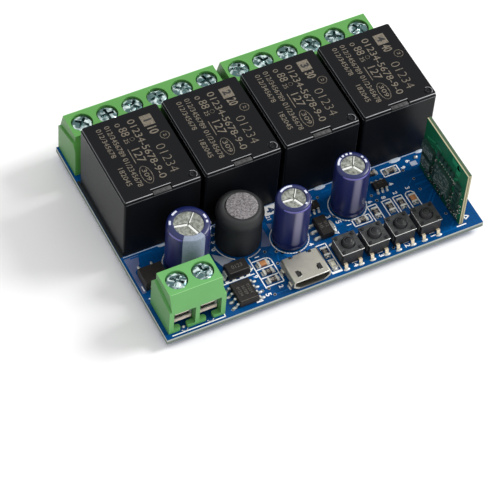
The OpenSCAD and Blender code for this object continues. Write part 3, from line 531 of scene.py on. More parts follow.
class RELAYMODULE_OT_finishes(bpy.types.Operator):
    """Give every CAD piece the finish of the real one"""
    bl_idname = "relaymodule.finishes"
    bl_label = "Finishes"

    def execute(self, context):
        look, sizes = context.scene.relay_module_colours, context.scene.relay_module_sizes
        # Fibreglass board under glossy blue mask; sawn edges show pale green laminate
        blue_board = solder_mask("solder mask over glass fibre", look.mask, look.mask_deep, look.board_edge,
                                 "Z", (BOARD_W * MM / 2, BOARD_D * MM / 2))
        green_board = solder_mask("green solder mask", look.radio_mask, "#124a35", "#c3bd9b", "X")
        # Polyamide 66: soft satin sheen, hardly any grain, with painted shade on the faces across X
        green = moulded_plastic("green polyamide", look.terminal, linear(look.terminal, 0.88), 0.42, 0.25,
                                0.01, 0.55)
        # The output blocks are a little darker and yellower, with painted shade on their faces across X too
        olive, deep_olive = [[c * f for c, f in zip(look.terminal, factors)]
                             for factors in ((0.74, 0.8, 0.56), (0.64, 0.7, 0.5))]
        olive_green = moulded_plastic("yellow green polyamide", olive, deep_olive, 0.42, 0.25, 0.01, 0.6)
        # Glass-filled polyester: almost black, fine spark-eroded grain that keeps highlights soft
        relay_black = relay_polyester("black polyester relay case", look.relay)
        relay_base = moulded_plastic("black polyester base", "#24262a", "#1a1c1f", 0.5, 0.3, 0.03,
                                     Specular_IOR_Level=0.25)
        # Liquid crystal polymer and nylon: black, smooth and only a little glossy
        socket_black = moulded_plastic("black liquid crystal polymer", "#1b1b1c", "#101011", 0.45, 0.2, 0.02)
        switch_black = moulded_plastic("black nylon switch base", "#1f2022", "#151617", 0.5, 0.2, 0.02,
                                       Specular_IOR_Level=0.3)
        button_black = moulded_plastic("black nylon button", "#232426", "#17181a", 0.42, 0.25, 0.03,
                                       Specular_IOR_Level=0.3)
        # Black-painted steel: the paint is coarse for such a small part, so the grain shows
        cover_paint = moulded_plastic("black painted steel cover", "#525454", "#121314", 0.42, 0.4, 0.08,
                                      blotch=0.7, Specular_IOR_Level=0.25)
        # Moulding epoxy: brownish black, its silica filler shows as pale specks
        chip_epoxy = moulded_plastic("black epoxy chip package", "#2f2c2a", "#141211", 0.5, 0.3, 0.05,
                                     blotch=0.5, Specular_IOR_Level=0.25)
        # Radio chips carry a sprayed coat that is mottled green over black
        coated_chip = moulded_plastic("green coated chip package", "#2c5148", "#0b1110", 0.4, 0.3, 0.06,
                                      blotch=0.9, Specular_IOR_Level=0.3)
        # Shrink film: glossy violet on the capacitors, with a painted sheen down the side and painted shade
        # on the shoulder; dull black tube on the coil
        violet = shrink_sleeve("violet blue shrink sleeve", look.sleeve, linear(look.sleeve, 0.62), 0.34,
                               0.01, 0.12, "#918ea8")
        black_tube = shrink_sleeve("black heat shrink tube", "#1e1f21", "#131416", 0.6, 0.06, 0.0)
        # Plated sheet and wire: tin is whitest, nickel greyer, zinc colder and bronze orange
        tin = plated_metal("tinned brass", "#f0f0ea", "#b9bab2", 0.28, 0.2, 0.02, 0.55)
        leg_tin = plated_metal("gold tinned switch legs", "#fff3da", "#dcc9a4", 0.3, 0.2, 0.02, 0.5)
        shell_steel = plated_metal("nickel plated shell steel", "#bab7ac", "#a4a297", 0.36, 0.12, 0.01)
        cage_steel = plated_metal("zinc plated cage steel", "#c4c6c4", "#8b8e8c", 0.32, 0.3, 0.03)
        yoke_iron = plated_metal("nickel plated soft iron", "#9a9da0", "#77797c", 0.38, 0.3, 0.03)
        bronze = plated_metal("phosphor bronze", "#d09a63", "#a36f3e", 0.3, 0.3, 0.02)
        screw_zinc = formed_screw("bright zinc plated screw")

        cages = numbered("output_cage", len(POLE_X)) + numbered("power_cage", len(POWER_X))
        screws = numbered("output_screw", len(POLE_X)) + numbered("power_screw", len(POWER_X))
        buttons = numbered("button", len(SWITCH_X))
        for material, nodes in {
            blue_board: ["main_board"], green_board: ["radio_board"],
            tin: ["terminal_contacts", "chip_leads"],
            leg_tin: ["switch_contacts"], relay_base: ["relay_bases"], bronze: ["relay_contacts"],
            wound_copper("enamelled copper winding"): ["relay_coils"],
            yoke_iron: ["relay_frames"] + numbered("armature", len(RELAY_X)), socket_black: ["usb_insulator"],
            coated_chip: ["radio_parts"], cage_steel: cages,
            speckled_ferrite("sintered ferrite"): ["coil_drum"],
        }.items():
            for node in nodes:
                finish_node(node, material)

        can = etched_aluminium("etched can aluminium")
        for work, node, material, slot, edge in (
            ("moulded", "left_output_housing", olive_green, "terminal_green", sizes.housing_edge),
            ("moulded", "right_output_housing", olive_green, "terminal_green", sizes.housing_edge),
            ("moulded", "power_input_housing", green, "terminal_green", sizes.housing_edge),
            ("moulded", "relay_cases", relay_black, "relay_black", sizes.case_edge),
            ("moulded", "chip_bodies", chip_epoxy, "chip_epoxy", 0.05),
            ("smooth", "capacitor_sleeves", violet, "sleeve_violet", 0.0),
            ("smooth", "capacitor_cans", can, "can_aluminium", 0.0),
            ("smooth", "coil_sleeve", black_tube, "sleeve_black", 0.0),
            ("smooth", "usb_shell", shell_steel, "usb_steel", 0.05),
            ("smooth", "switch_bases", switch_black, "switch_black", 0.05),
            ("smooth", "switch_covers", cover_paint, "switch_cover", 0.05),
        ):
            dressed_node(work, node, material, edge)
        for node in buttons:
            dressed_node("smooth", node, button_black, body=node)
        for node in screws:
            dressed_node("formed", node, screw_zinc, 0.06, node)
        return {"FINISHED"}


class RELAYMODULE_OT_terminal_details(bpy.types.Operator):
    """Add the ribbed jaws and bar noses behind the wire entries, with painted warm light on their tin and
    painted shade in the gaps, and a painted highlight on the housings' edges
    """
    bl_idname = "relaymodule.terminal_details"
    bl_label = "Terminal details"

    def execute(self, context):
        # Painted warm light: the tin on the clamp is tinted as if lit by the brass behind it; the gap under
        # the bar is a dark strip of painted shade
        warm = plated_metal("tinned clamp steel with painted warm light", "#fff4ea", "#e2cfc2", 0.4, 0.2, 0.03, 0.25)
        brown = moulded_plastic("painted shade in clamp gap", "#2b1a14", "#170e0b", 0.7, 0.3, 0.02)
        noses, gaps, glints = bmesh.new(), bmesh.new(), bmesh.new()
        # Poles: the middle, the way into the block, and the cage
        poles = [*zip(POLE_X, [-1] * len(POLE_X), numbered("output_cage", len(POLE_X))),
                 *zip(POWER_X, [1] * len(POWER_X), numbered("power_cage", len(POWER_X)))]
        for x, inward, cage in poles:
            low, high = board_box(cage)
            front = low.y if inward > 0 else high.y
            # Ribs on the jaw's front, and the apron that they stand on
            ribs = bmesh.new()
            for k in range(3):
                foot = low.z - 0.42 + 0.28 * k
                slab(ribs, (low.x + 0.12, front, foot), (high.x - 0.12, front - 0.14 * inward, foot + 0.16),
                     0.02)
            slab(ribs, (low.x + 0.2, front, low.z - 0.4), (high.x - 0.2, front - 0.05 * inward, low.z + 0.28),
                 0.02)
            finish_piece("jaw_ribs_" + cage, ribs, warm, cage)
            # Nose of the fixed bar, and under it a dark strip of painted shade for its lower lip, clear of
            # the jaw at the top of its travel
            near, far = front - 0.12 * inward, front - 0.02 * inward
            slab(noses, (x - 1.35, near, 3.38), (x + 1.35, far, 3.6), 0.03)
            slab(gaps, (x - 1.35, near, 3.1), (x + 1.35, far, 3.36), 0.02)
        finish_piece("terminal_bar_noses", noses, warm)
        finish_piece("terminal_gap_painted_shade", gaps, brown)
        # Painted highlight: a paler strip along the top front edges
        for housing, inward in (("power_input", 1), ("left_output", -1), ("right_output", -1)):
            low, high = board_box(housing + "_housing")
            y = (low.y if inward > 0 else high.y) + BROW_BACK * inward
            slab(glints, (low.x + 0.5, y - 0.05, high.z - 0.06), (high.x - 0.5, y + 0.05, high.z + 0.012),
                 0.02)
        finish_piece("housing_edge_painted_highlights", glints, moulded_plastic(
            "painted highlight on polyamide edge", "#97d08e", "#7fbf76", 0.3, 0.3, 0.01))
        return {"FINISHED"}


PRINTED_LINES = [
    # In front of the power terminal
    [(1.24, 0.5), (11.8, 0.5)], [(11.75, 0.5), (11.75, 1.3)],
    # Round the buck supply's three small parts
    [(21.2, 2.95), (21.2, 10.3)], [(21.2, 9.2), (24.1, 9.2), (24.65, 8.9), (24.9, 8.4), (24.9, 3.3)],
    *[[(21.2, y), (24.9, y)] for y in (7.25, 5.2, 3.2)],
    # Round the status lamp and its resistor
    [(33.65, 1.05), (33.65, 7.65), (35.6, 7.65), (35.6, 1.05)],
    # Round the small parts behind the switches
    rectangle(42.5, 8.7, 46.1, 10.4), rectangle(53.0, 16.75, 56.3, 18.5),
    *[[(x, 8.3), (x, 11.9), (x + 1.8, 11.9), (x + 1.8, 8.3)] for x in (46.6, 49.6, 51.95)],
    [(54.45, 8.3), (54.45, 11.5), (54.9, 11.95), (55.8, 11.95), (56.25, 11.5), (56.25, 8.3)],
    # Under the diode, and beside the radio board
    [(14.3, 6.8), (20.7, 6.8)], [(20.2, 7.5), (21.2, 8.2)],
    [(59.6, 1.0), (61.6, 1.0)], [(62.0, 1.9), (62.9, 2.4), (62.0, 2.9), (62.0, 1.9)],
    # The bridge's corner marks
    [(0.9, 11.4), (0.9, 12.6)], [(0.9, 9.6), (1.7, 9.3)],
]
# Figures beside the parts: x, y, text, size
PRINTED_NUMBERS = [
    (20.9, 1.6, "5", 1.5), (23.8, 2.3, "2", 1.2), (20.6, 6.1, "9", 1.2), (22.7, 9.95, "1", 1.2),
    (33.1, 8.5, "4", 1.3), (38.5, 1.35, "14", 1.5), (43.8, 1.35, "13", 1.5), (49.2, 1.4, "12", 1.5),
    (54.6, 1.4, "11", 1.5), (41.6, 9.6, "1", 1.3), (40.1, 11, "5", 1.5), (38.9, 12.8, "3", 1.3),
    (38.6, 8.9, "7", 1.3), (47.6, 12.7, "6", 1.2), (50.4, 12.6, "8", 1.2), (52.9, 12.7, "2", 1.2),
    (55.6, 12.8, "3", 1.2), (57.2, 17.4, "9", 1.2), (53.2, 14.9, "4", 1.3), (58.7, 18.4, "6", 1.2),
    (48.6, 18.6, "7", 1.2), (28.7, 17, "21", 1.1), (18.9, 19.3, "7", 1.3), (17.7, 17.8, "2", 1.3),
    (17.1, 16.2, "5", 1.3), (16.3, 14.7, "0", 1.2),
]


class RELAYMODULE_OT_board_print(bpy.types.Operator):
    """Print the white outlines and plain numbers on the board"""
    bl_idname = "relaymodule.board_print"
    bl_label = "Board print"

    def execute(self, context):
        width = context.scene.relay_module_sizes.print_line
        white = printed_ink("white screen print", "#ffffff", 0.93)
        bm = bmesh.new()
        for points in PRINTED_LINES:
            stroke(bm, points, width)
        for x, y, diameter, _, _ in CAPS:
            stroke(bm, arc(x, y, diameter / 2 + 0.3, 0, 360, 40), width)
        for start, end in ((178, 238), (269, 306)):
            stroke(bm, arc(COIL[0], COIL[1], COIL[2] / 2 + 0.15, start, end, 12), width)
        for x in POWER_X:
            stroke(bm, arc(x + 0.1, 1.25, 0.65, 205, 335, 8), width * 0.8, high=0.05)
        # Filled blocks: the lamp's polarity bar, the field round a number, the mark at the buck chip's corner
        slab(bm, (33.6, 0.8, 0), (35.7, 1.25, 0.05))
        slab(bm, (28.4, 17.6, 0), (31.2, 19.65, INK))
        slab(bm, (18.2, 0.75, 0), (19.5, 1.05, INK))
        slab(bm, (18.8, 0.95, 0), (19.4, 1.5, INK))
        # Dashes under the diode
        for x in (15.0, 16.4, 17.9, 19.2):
            slab(bm, (x, 6.9, 0), (x + 0.75, 7.3, 0.05))
        for x, y, text, size in PRINTED_NUMBERS:
            number(bm, text, turned(x, y, 0, -90), size)
        finish_piece("board_print", bm, white)

        # Fainter line along the relays' fronts, and blobs of potting varnish that crept out from under them
        bm = bmesh.new()
        stroke(bm, [(0.55, 19.74), (64.2, 19.74)], width * 0.7)
        for x, y, long, wide in ((56.6, 19.6, 2.6, 1.1), (40.7, 19.6, 2.4, 1.0), (8.2, 19.55, 1.7, 0.7),
                                 (61.9, 19.65, 1.8, 0.8)):
            mound(bm, x, y, 0.0, long, wide, 0.12)
        finish_piece("relay_front_varnish", bm, printed_ink("cured varnish", "#c3cfde", 0.75))
        bm = bmesh.new()
        number(bm, "4", turned(29.9, 18.6, 0.02, -90), 2.1, thick=0.05, weight=0.05)
        finish_piece("board_print_cut", bm, printed_ink("bare mask inside the print",
                                                        context.scene.relay_module_colours.mask_deep, 0.8))

        # Painted light on the mask: a nearly black strip beside the first relay is its painted dark
        # reflection, and a pale patch left of the bridge is a painted sheen; a pale patch by the coil is thin
        # mask over tinned copper, and the mask is dull where flux has dried
        for name, outlines, rise, mask in (
            ("relay_side_painted_reflection", [rectangle(0.12, 19.9, 0.66, 39.2)[:4]], 0.03,
             moulded_plastic("painted dark reflection beside relay", "#16211f", "#0c1413", 0.5, 0.8, 0.02)),
            ("pale_mask_and_painted_sheen_areas", [[(0.45, 19.3), (3.3, 19.3), (2.6, 17.2), (1.2, 15.9), (1.15, 11.0),
                                  (0.4, 11.0)],
                                 [(27.1, 16.2), (28.7, 15.7), (26.15, 11.2), (24.5, 11.7)]], 0.025,
             moulded_plastic("pale mask and painted sheen", "#7a86ab", "#39456f", 0.3, 0.8, 0.02)),
            ("flux_smear", [[(15.5, 13.9), (18.8, 11.3), (16.2, 10.6), (15.5, 12.45)],
                            rectangle(58.9, 17.0, 60.2, 18.0)[:4],
                            [(51.1, 18.0), (51.9, 18.2), (51.9, 19.0), (51.1, 18.9)]], 0.03,
             moulded_plastic("dried flux", "#b4bbc8", "#7f8aa0", 0.4, 0.5, 0.05)),
        ):
            bm = bmesh.new()
            for outline in outlines:
                plate(bm, outline, rise)
            finish_piece(name, bm, mask)

        # Underside: outlines round the relays, the drivers and the terminals, and the relays' numbers
        bm = bmesh.new()
        for x in RELAY_X:
            stroke(bm, rectangle(x, RELAY_Y, x + RELAY_W, RELAY_Y + RELAY_L - 0.8), width)
            stroke(bm, rectangle(x + 3.0, 15.4, x + 12.2, 18.9), width)
        stroke(bm, [(0.4, 40.4), (64.2, 40.4)], width)
        stroke(bm, [(1.0, 9.3), (12.0, 9.3), (12.0, 0.6)], width)
        bm.transform(Matrix.Translation((0, 0, -BOARD_T)) @ Matrix.Diagonal((1, 1, -1, 1)))
        for x, text in zip(RELAY_X, "1234"):
            flipped = Matrix.Rotation(math.pi, 4, "Y")
            number(bm, text, Matrix.Translation((x + 7.6, 13.4, -BOARD_T)) @ flipped, 2.2)
        finish_piece("underside_print", bm, white)
        return {"FINISHED"}


# Tracks: width and points
TRACKS = [
    # Supply: bridge to the input capacitor, buck, coil and on to the regulator
    (1.6, [(7, 14.1), (13.5, 14.1)]), (1.8, [(12.6, 11.5), (12.6, 8.6), (15, 8.5)]),
    (1.4, [(20.4, 8.4), (20.4, 10.6)]), (0.6, [(19.4, 5.3), (20.3, 5.3), (20.3, 6.6)]),
    (0.35, [(19.6, 4), (21.6, 4.1)]), (0.35, [(19.6, 2.7), (20.9, 2.9), (21.6, 4.1)]),
    (0.3, [(24.6, 4.1), (25.7, 5), (25.7, 7.1)]), (0.3, [(24.6, 6.1), (26, 7.4), (26.6, 9.4)]),
    (1.1, [(25.4, 9.5), (27.2, 11.2), (27.2, 16.5)]), (0.9, [(28.6, 7.3), (27.6, 9), (26.6, 10.2)]),
    (1.6, [(28.9, 16.2), (28.9, 19.2)]), (1.2, [(32.2, 15), (34.6, 15), (35, 12.8)]),
    (0.4, [(31.6, 6.4), (31.6, 7.6), (33.3, 8.6), (33.3, 10.2)]), (0.3, [(30.4, 6.4), (30.4, 7.7)]),
    (0.3, [(29.1, 6.4), (29.1, 7)]),
    # Regulator to the drivers and the radio board
    (0.9, [(38.9, 10.6), (40.8, 10.6)]), (0.35, [(38.2, 14.2), (40, 12.9), (40, 11.8)]),
    (0.35, [(37, 14.2), (37.6, 13), (39.4, 11.9)]), (0.3, [(36, 17.6), (36, 19), (33.8, 19.6)]),
    (0.3, [(37, 17.6), (37, 19.4)]), (0.3, [(38, 17.6), (39.2, 17.6), (40, 16)]),
    (0.3, [(44.3, 8.3), (44.3, 7.4), (57.6, 7.4), (59.9, 9.7)]),
    (0.3, [(45.8, 7.9), (57.2, 7.9), (59.9, 10.6)]), (0.3, [(40.6, 7.2), (40.6, 8.4), (41.6, 8.9)]),
    (0.3, [(47.5, 12.1), (47.5, 12.9), (48.6, 13.9), (50, 13.9)]),
    (0.3, [(50.5, 12.1), (50.5, 12.6), (51, 13.4)]), (0.3, [(52.85, 12.1), (52, 13.5)]),
    (0.3, [(55.35, 12.1), (55.35, 12.6), (57.6, 14.6), (59.9, 14.6)]),
    (0.3, [(52, 16.9), (52, 17.8), (53.2, 17.6)]), (0.3, [(50, 16.9), (50, 17.4)]),
    (0.3, [(49.3, 18.4), (48, 17.2), (48, 15), (47, 14.2)]),
    (0.3, [(56.2, 17.6), (58.6, 16.2), (59.9, 16.2)]), (0.3, [(57.3, 12.9), (59.9, 12.9)]),
    (0.3, [(57, 11.2), (59.9, 11.7)]), (1.4, [(61.9, 6), (63.6, 7), (63.6, 19.2)]),
    (0.3, [(38, 7.2), (38, 8), (39.6, 9.6)]), (0.4, [(58.4, 1.2), (59.7, 2.4)]),
    # Short runs at the front edge and in front of the relays
    (0.3, [(48.8, 7.2), (48.8, 6.8)]), (0.3, [(42, 0.9), (60, 0.9)]), (0.3, [(13, 1.2), (14.8, 1.4)]),
    (0.5, [(13, 4), (14.2, 4)]), (2, [(4.2, 9.4), (4.2, 10.4)]), (0.3, [(22.2, 1.2), (24.8, 1.2)]),
    (0.3, [(1.6, 19), (6, 19)]), (1.6, [(46.9, 16.4), (46.9, 19.2)]), (0.35, [(40.4, 18.4), (46, 18.4)]),
    (0.35, [(20, 19.4), (26.8, 19.4)]),
]
VIAS = [
    (24.6, 10.4), (21.6, 2.8), (20.3, 2.75), (22, 1.15), (25.6, 7.1), (30.3, 7.75), (49, 12.5), (48.6, 13.9),
    (46.6, 1.6), (39.2, 17.6), (40, 12.4), (57.8, 14.2), (57.7, 11.6), (12.6, 10.6), (33.3, 10.4),
    (26.6, 9.6), (59.3, 4.6), (61.9, 11), (63.2, 9.6), (56.9, 16.8), (13.6, 1.2),
]


class RELAYMODULE_OT_copper(bpy.types.Operator):
    """Run the copper tracks under the mask, with vias and bare pads"""
    bl_idname = "relaymodule.copper"
    bl_label = "Copper"

    def execute(self, context):
        mask = context.scene.relay_module_colours.mask
        rise = context.scene.relay_module_sizes.track_rise
        tracks, metal, holes = bmesh.new(), bmesh.new(), bmesh.new()
        for width, points in TRACKS:
            stroke(tracks, points, width, high=rise)
        # Each via is a masked pad, the rim of its plated barrel, and a dark disc of painted shade for its
        # hole
        for x, y in VIAS:
            post(tracks, x, y, 0, rise + 0.01, 0.34, segments=14)
            stroke(metal, arc(x, y, 0.26, 0, 360, 12), 0.09, high=rise + 0.02)
            post(holes, x, y, 0, rise + 0.015, 0.21, segments=12)
        # Pads that the two-ended parts stand on
        for part in RESISTORS + CHIP_CAPS + [LAMP]:
            for side in (-1, 1):
                chip_block(metal, part, side, 0.64, 1.0, 0, 0.035)
        finish_piece("copper_tracks", tracks, raised_mask("solder mask over copper", linear(mask, 1.4), mask))
        finish_piece("bare_pads", metal, reflowed_solder("tinned copper pads"))
        finish_piece("via_holes", holes, moulded_plastic("shadowed via hole", "#0a0d12", "#050608", 0.8, 0.2,
                                                         0.01))
        return {"FINISHED"}


class RELAYMODULE_OT_solder(bpy.types.Operator):
    """Solder every foot on top and every pin on the underside"""
    bl_idname = "relaymodule.solder"
    bl_label = "Solder"

    def execute(self, context):
        rise = context.scene.relay_module_sizes.solder_rise
        solder = reflowed_solder("reflowed solder")
        bm = bmesh.new()
        for x, y, turn in RESISTORS + CHIP_CAPS + [LAMP]:
            for side in (-1, 1):
                middle = turned(x, y, 0, turn) @ Vector((side * 1.1, 0, 0))
                # The right or the front end has the fuller fillet
                long, high = (0.5, 2.0) if side == (-1 if turn else 1) else (0.3, 0.6)
                mound(bm, middle.x, middle.y, 0.03, long, 0.8, rise * high, turn)
        for x, y, turn, count, pitch, depth, reach in CHIPS:
            for i in range(count):
                for side in (-1, 1):
                    out = Vector(((i - (count - 1) / 2) * pitch, side * (depth / 2 + reach * 0.85), 0))
                    foot = turned(x, y, 0, turn) @ out
                    mound(bm, foot.x, foot.y, 0.02, 0.62, reach * 0.8 + 0.25, rise, turn)
        for y in (-1.5, 0, 1.5):
            mound(bm, REGULATOR[0] - 2.15, REGULATOR[1] + y, 0.02, 1.1, 0.85, rise * 1.7)
        mound(bm, REGULATOR[0] + 1.95, REGULATOR[1], 0.02, 1.1, 3.2, rise * 1.8)
        for side in (-1, 1):
            mound(bm, DIODE[0] + side * 2.65, DIODE[1], 0.02, 0.8, 1.7, rise)
            for x in SWITCH_X:
                for dx in (-1.5, 1.5):
                    mound(bm, x + dx, SWITCH_Y + side * 3.05, 0.02, 1.35, 0.7, rise * 1.2)
            for y in (1.2, 4.3):
                mound(bm, USB[0] + side * (USB[2] / 2 + 0.25), USB[1] + y, 0.03, 0.5, 1.3, rise * 1.6)
        for x in USB_CONTACTS:
            mound(bm, x, USB[1] + USB[3] + 0.2, 0.02, 0.3, 0.8, rise * 0.7)
        # Two stray blobs
        for x, y, size in ((3.9, 1.55, 0.7), (60.6, 18.6, 0.9)):
            mound(bm, x, y, 0.02, size, size * 0.8, 0.35)
        # Row of joints where the upright board meets the main board
        for i in range(8):
            mound(bm, RADIO_X + 1.0, RADIO_Y + 2.4 + 1.5 * i, 0.05, 0.5, 0.8, 0.4)
        finish_piece("top_solder", bm, solder)

        # Underside: a cone round every pin, and tinned power tracks from the relays to the terminals
        bm = bmesh.new()
        under = -BOARD_T
        middles = [x + RELAY_W / 2 for x in RELAY_X]
        pins = [(middle + dx, RELAY_Y + dy) for middle in middles
                for dx, dy in ((0, 1.35), (-6, 4.1), (6, 4.1), (-6, 16.3), (6, 16.3))]
        pins += [(x, BOARD_D - LEG_BACK) for x in POLE_X] + [(x, POWER_FACE + LEG_BACK) for x in POWER_X]
        for x, y in pins:
            post(bm, x, y, under - 0.12, under, 1.15, 1.2, segments=20)
            post(bm, x, y, under - 1.0, under - 0.1, 0.52, 0.98, segments=20)
        for x, y, spacing in [(cap[0], cap[1], cap[4]) for cap in CAPS] + [(COIL[0], COIL[1], COIL_LEADS)]:
            for side in (-1, 1):
                post(bm, x + side * spacing / 2, y, under - 0.8, under, 0.34, 0.8)
        finish_piece("underside_solder", bm, solder)

        bm = bmesh.new()
        for i, middle in enumerate(middles):
            # From the two contact pins at the back and from the common pin at the front
            starts = [[(middle - 6, 36.25), (middle - 6, 38.4)], [(middle, 21.3), (middle, 37.5)],
                      [(middle + 6, 36.25), (middle + 6, 38.4)]]
            for start, pole in zip(starts, POLE_X[3 * i:3 * i + 3]):
                stroke(bm, [*start, (pole, 40.4), (pole, 41.75)], 2.0, under - 0.14, under)
        finish_piece("tinned_power_tracks", bm, reflowed_solder("hand tinned power tracks"))
        return {"FINISHED"}


# Rows of plain figures on a relay: text, distance across, start and end along it, size and weight
RELAY_ROWS = [
    ("2", 13.3, 11.8, 11.2, 0.9, 0), ("01234", 11.35, 9.9, 3.2, 2.6, -0.02),
    ("01234-5678-9-0", 8.9, 17.2, 2.7, 2, 0), ("0", 6.3, 17.3, 16.5, 1.4, 0),
    ("88", 6.75, 16, 14, 2.3, -0.005), ("25", 6.3, 13.4, 12.3, 1.2, 0), ("127", 6.95, 10.9, 7.7, 2.25, 0),
    ("309", 6.4, 5.9, 3.1, 1.3, 0), ("012/3456789 01/2345678", 4.35, 17.5, 2.5, 1.45, 0),
    ("012/345678", 2.7, 17.4, 10.3, 1.4, 0), ("182045", 2.6, 7.8, 3.5, 1.4, 0),
]


class RELAYMODULE_OT_relay_marks(bpy.types.Operator):
    """Mark each relay with its number and rows of plain figures, close its latch and paint highlights on its
    edges
    """
    bl_idname = "relaymodule.relay_marks"
    bl_label = "Relay marks"

    def execute(self, context):
        top, front, back = RELAY_H, RELAY_Y, RELAY_Y + RELAY_L
        marks, cuts = bmesh.new(), bmesh.new()
        for left, name in zip(RELAY_X, "1234"):
            # Filled block with the relay's number left out of it
            slab(marks, (left + 10.75, front + 14.65, top), (left + 12.95, front + 17.15, top + MARK))
            number(cuts, name, turned(left + 11.85, front + 15.9, top, -90), 2.1, thick=0.05, weight=0.03)
            # Rows read from the back of the relay to its front
            rows = [(name + "0", 11.8, 14.3, 12.7, 2.5, 0.02)] + RELAY_ROWS
            for text, across, start, end, size, weight in rows:
                place = turned(left + across, front + (start + end) / 2, top, -90)
                number(marks, text, place, size, start - end, MARK, weight)
            # Two rings, a bar and an oval round three figures
            oval = [(left + 6.4 + x, front + 4.5 + 2.05 * y) for x, y in arc(0, 0, 1, 0, 360, 28)]
            for points, width in (
                (arc(left + 13.3, front + 11.5, 0.85, 0, 360), 0.14), (oval, 0.14),
                (arc(left + 7.5, front + 12.95, 0.4, 0, 360, 16), 0.1),
                ([(left + 5.75, front + 11.1), (left + 5.75, front + 7.6)], 0.14),
            ):
                stroke(marks, points, width, top, top + MARK)
        finish_piece("relay_marks", marks, printed_ink(
            "laser marked relay print", context.scene.relay_module_colours.relay_print, 0.5))
        finish_piece("relay_mark_cuts", cuts, printed_ink("bare case inside the mark", "#17181b", 0.8))

        latches, bright, dim = bmesh.new(), bmesh.new(), bmesh.new()
        for left in RELAY_X:
            notch, right = left + NOTCH, left + RELAY_W
            # Latch of the case: a rough tab in the notch of the lid's front edge
            slab(latches, (notch + 0.15, front + 0.05, top - 0.5), (notch + 3.65, front + 0.85, top - 0.14),
                 0.08)
            for x in (notch + 0.55, notch + 1.55, notch + 2.55):
                slab(latches, (x, front + 0.12, top - 0.4), (x + 0.7, front + 0.6, top - 0.07), 0.05)
            # Painted highlights along the front edges of the lid and of the ledge under it, where they catch
            # the light
            for a, b in ((left + 0.3, notch - 0.05), (notch + 3.85, right - 0.3)):
                slab(bright, (a, front + 0.14, top - 0.12), (b, front + 0.26, top + MARK), 0.03)
                slab(dim, (a, front - 0.012, top - 0.82), (b, front + 0.1, top - 0.69), 0.03)
            slab(bright, (notch - 0.1, front + 1.1, top - 0.1), (notch + 3.9, front + 1.22, top + MARK), 0.03)
            slab(dim, (notch, front - 0.012, top - 0.82), (notch + 3.8, front + 0.1, top - 0.69), 0.03)
            # Painted highlights on the double ring at the ejector dimple
            for painted_highlight, radius, start, end in ((bright, 0.82, -60, 100), (dim, 0.42, 60, 250)):
                stroke(painted_highlight, arc(left + 13.96, front + 1.34, radius, start, end, 12), 0.12, top - 0.02,
                       top + 0.015)
            # Painted highlights on the side edges of the lid and the ledge
            slab(dim, (left + 0.14, front + 0.3, top - 0.1), (left + 0.22, back - 0.4, top + 0.015), 0.02)
            slab(dim, (left - 0.01, front + 0.3, top - 0.8), (left + 0.07, back - 0.4, top - 0.69), 0.02)
        for name, bm, plastic in (
            ("relay_latches", latches, ("scuffed polyester latch", "#4c4b4c", "#1d1d1e", 0.5, 0.35, 0.12)),
            ("relay_lid_lips", bright, ("painted highlight on relay lid edge", "#c4c4c6", "#77777a", 0.35, 0.6, 0.02)),
            ("relay_ledge_lines", dim, ("painted highlight on relay ledge edge", "#5f6163", "#3a3b3d", 0.35, 0.6, 0.02)),
        ):
            finish_piece(name, bm, moulded_plastic(*plastic))
        return {"FINISHED"}


def printed_film(bm, cap, profile, start, end, steps):
    """Adds a printed film: an outline in radius and height, swept round a capacitor between two angles."""
    x, y = cap[:2]
    verts = [bm.verts.new((x + r, y, z)) for r, z in profile]
    edges = [bm.edges.new(pair) for pair in zip(verts, verts[1:])]
    bmesh.ops.rotate(bm, verts=verts, cent=(x, y, 0), matrix=Matrix.Rotation(math.radians(start), 3, "Z"))
    bmesh.ops.spin(bm, geom=verts + edges, cent=(x, y, 0), axis=(0, 0, 1), angle=math.radians(end - start),
                   steps=steps, use_merge=False)


# Angles between which each capacitor's shoulder is printed, and then those where a highlight is painted on it
SHOULDER_PRINTS = [
    ((104, 126), (148, 164), (-22, -12), (-4, 12)), ((70, 128), (-2, 14), (-60, -50)),
    ((66, 76), (84, 94), (102, 112), (120, 160), (-12, 6), (16, 26)),
]
SHOULDER_HIGHLIGHTS = [(-175, -132), (-150, -48), (-150, -42)]


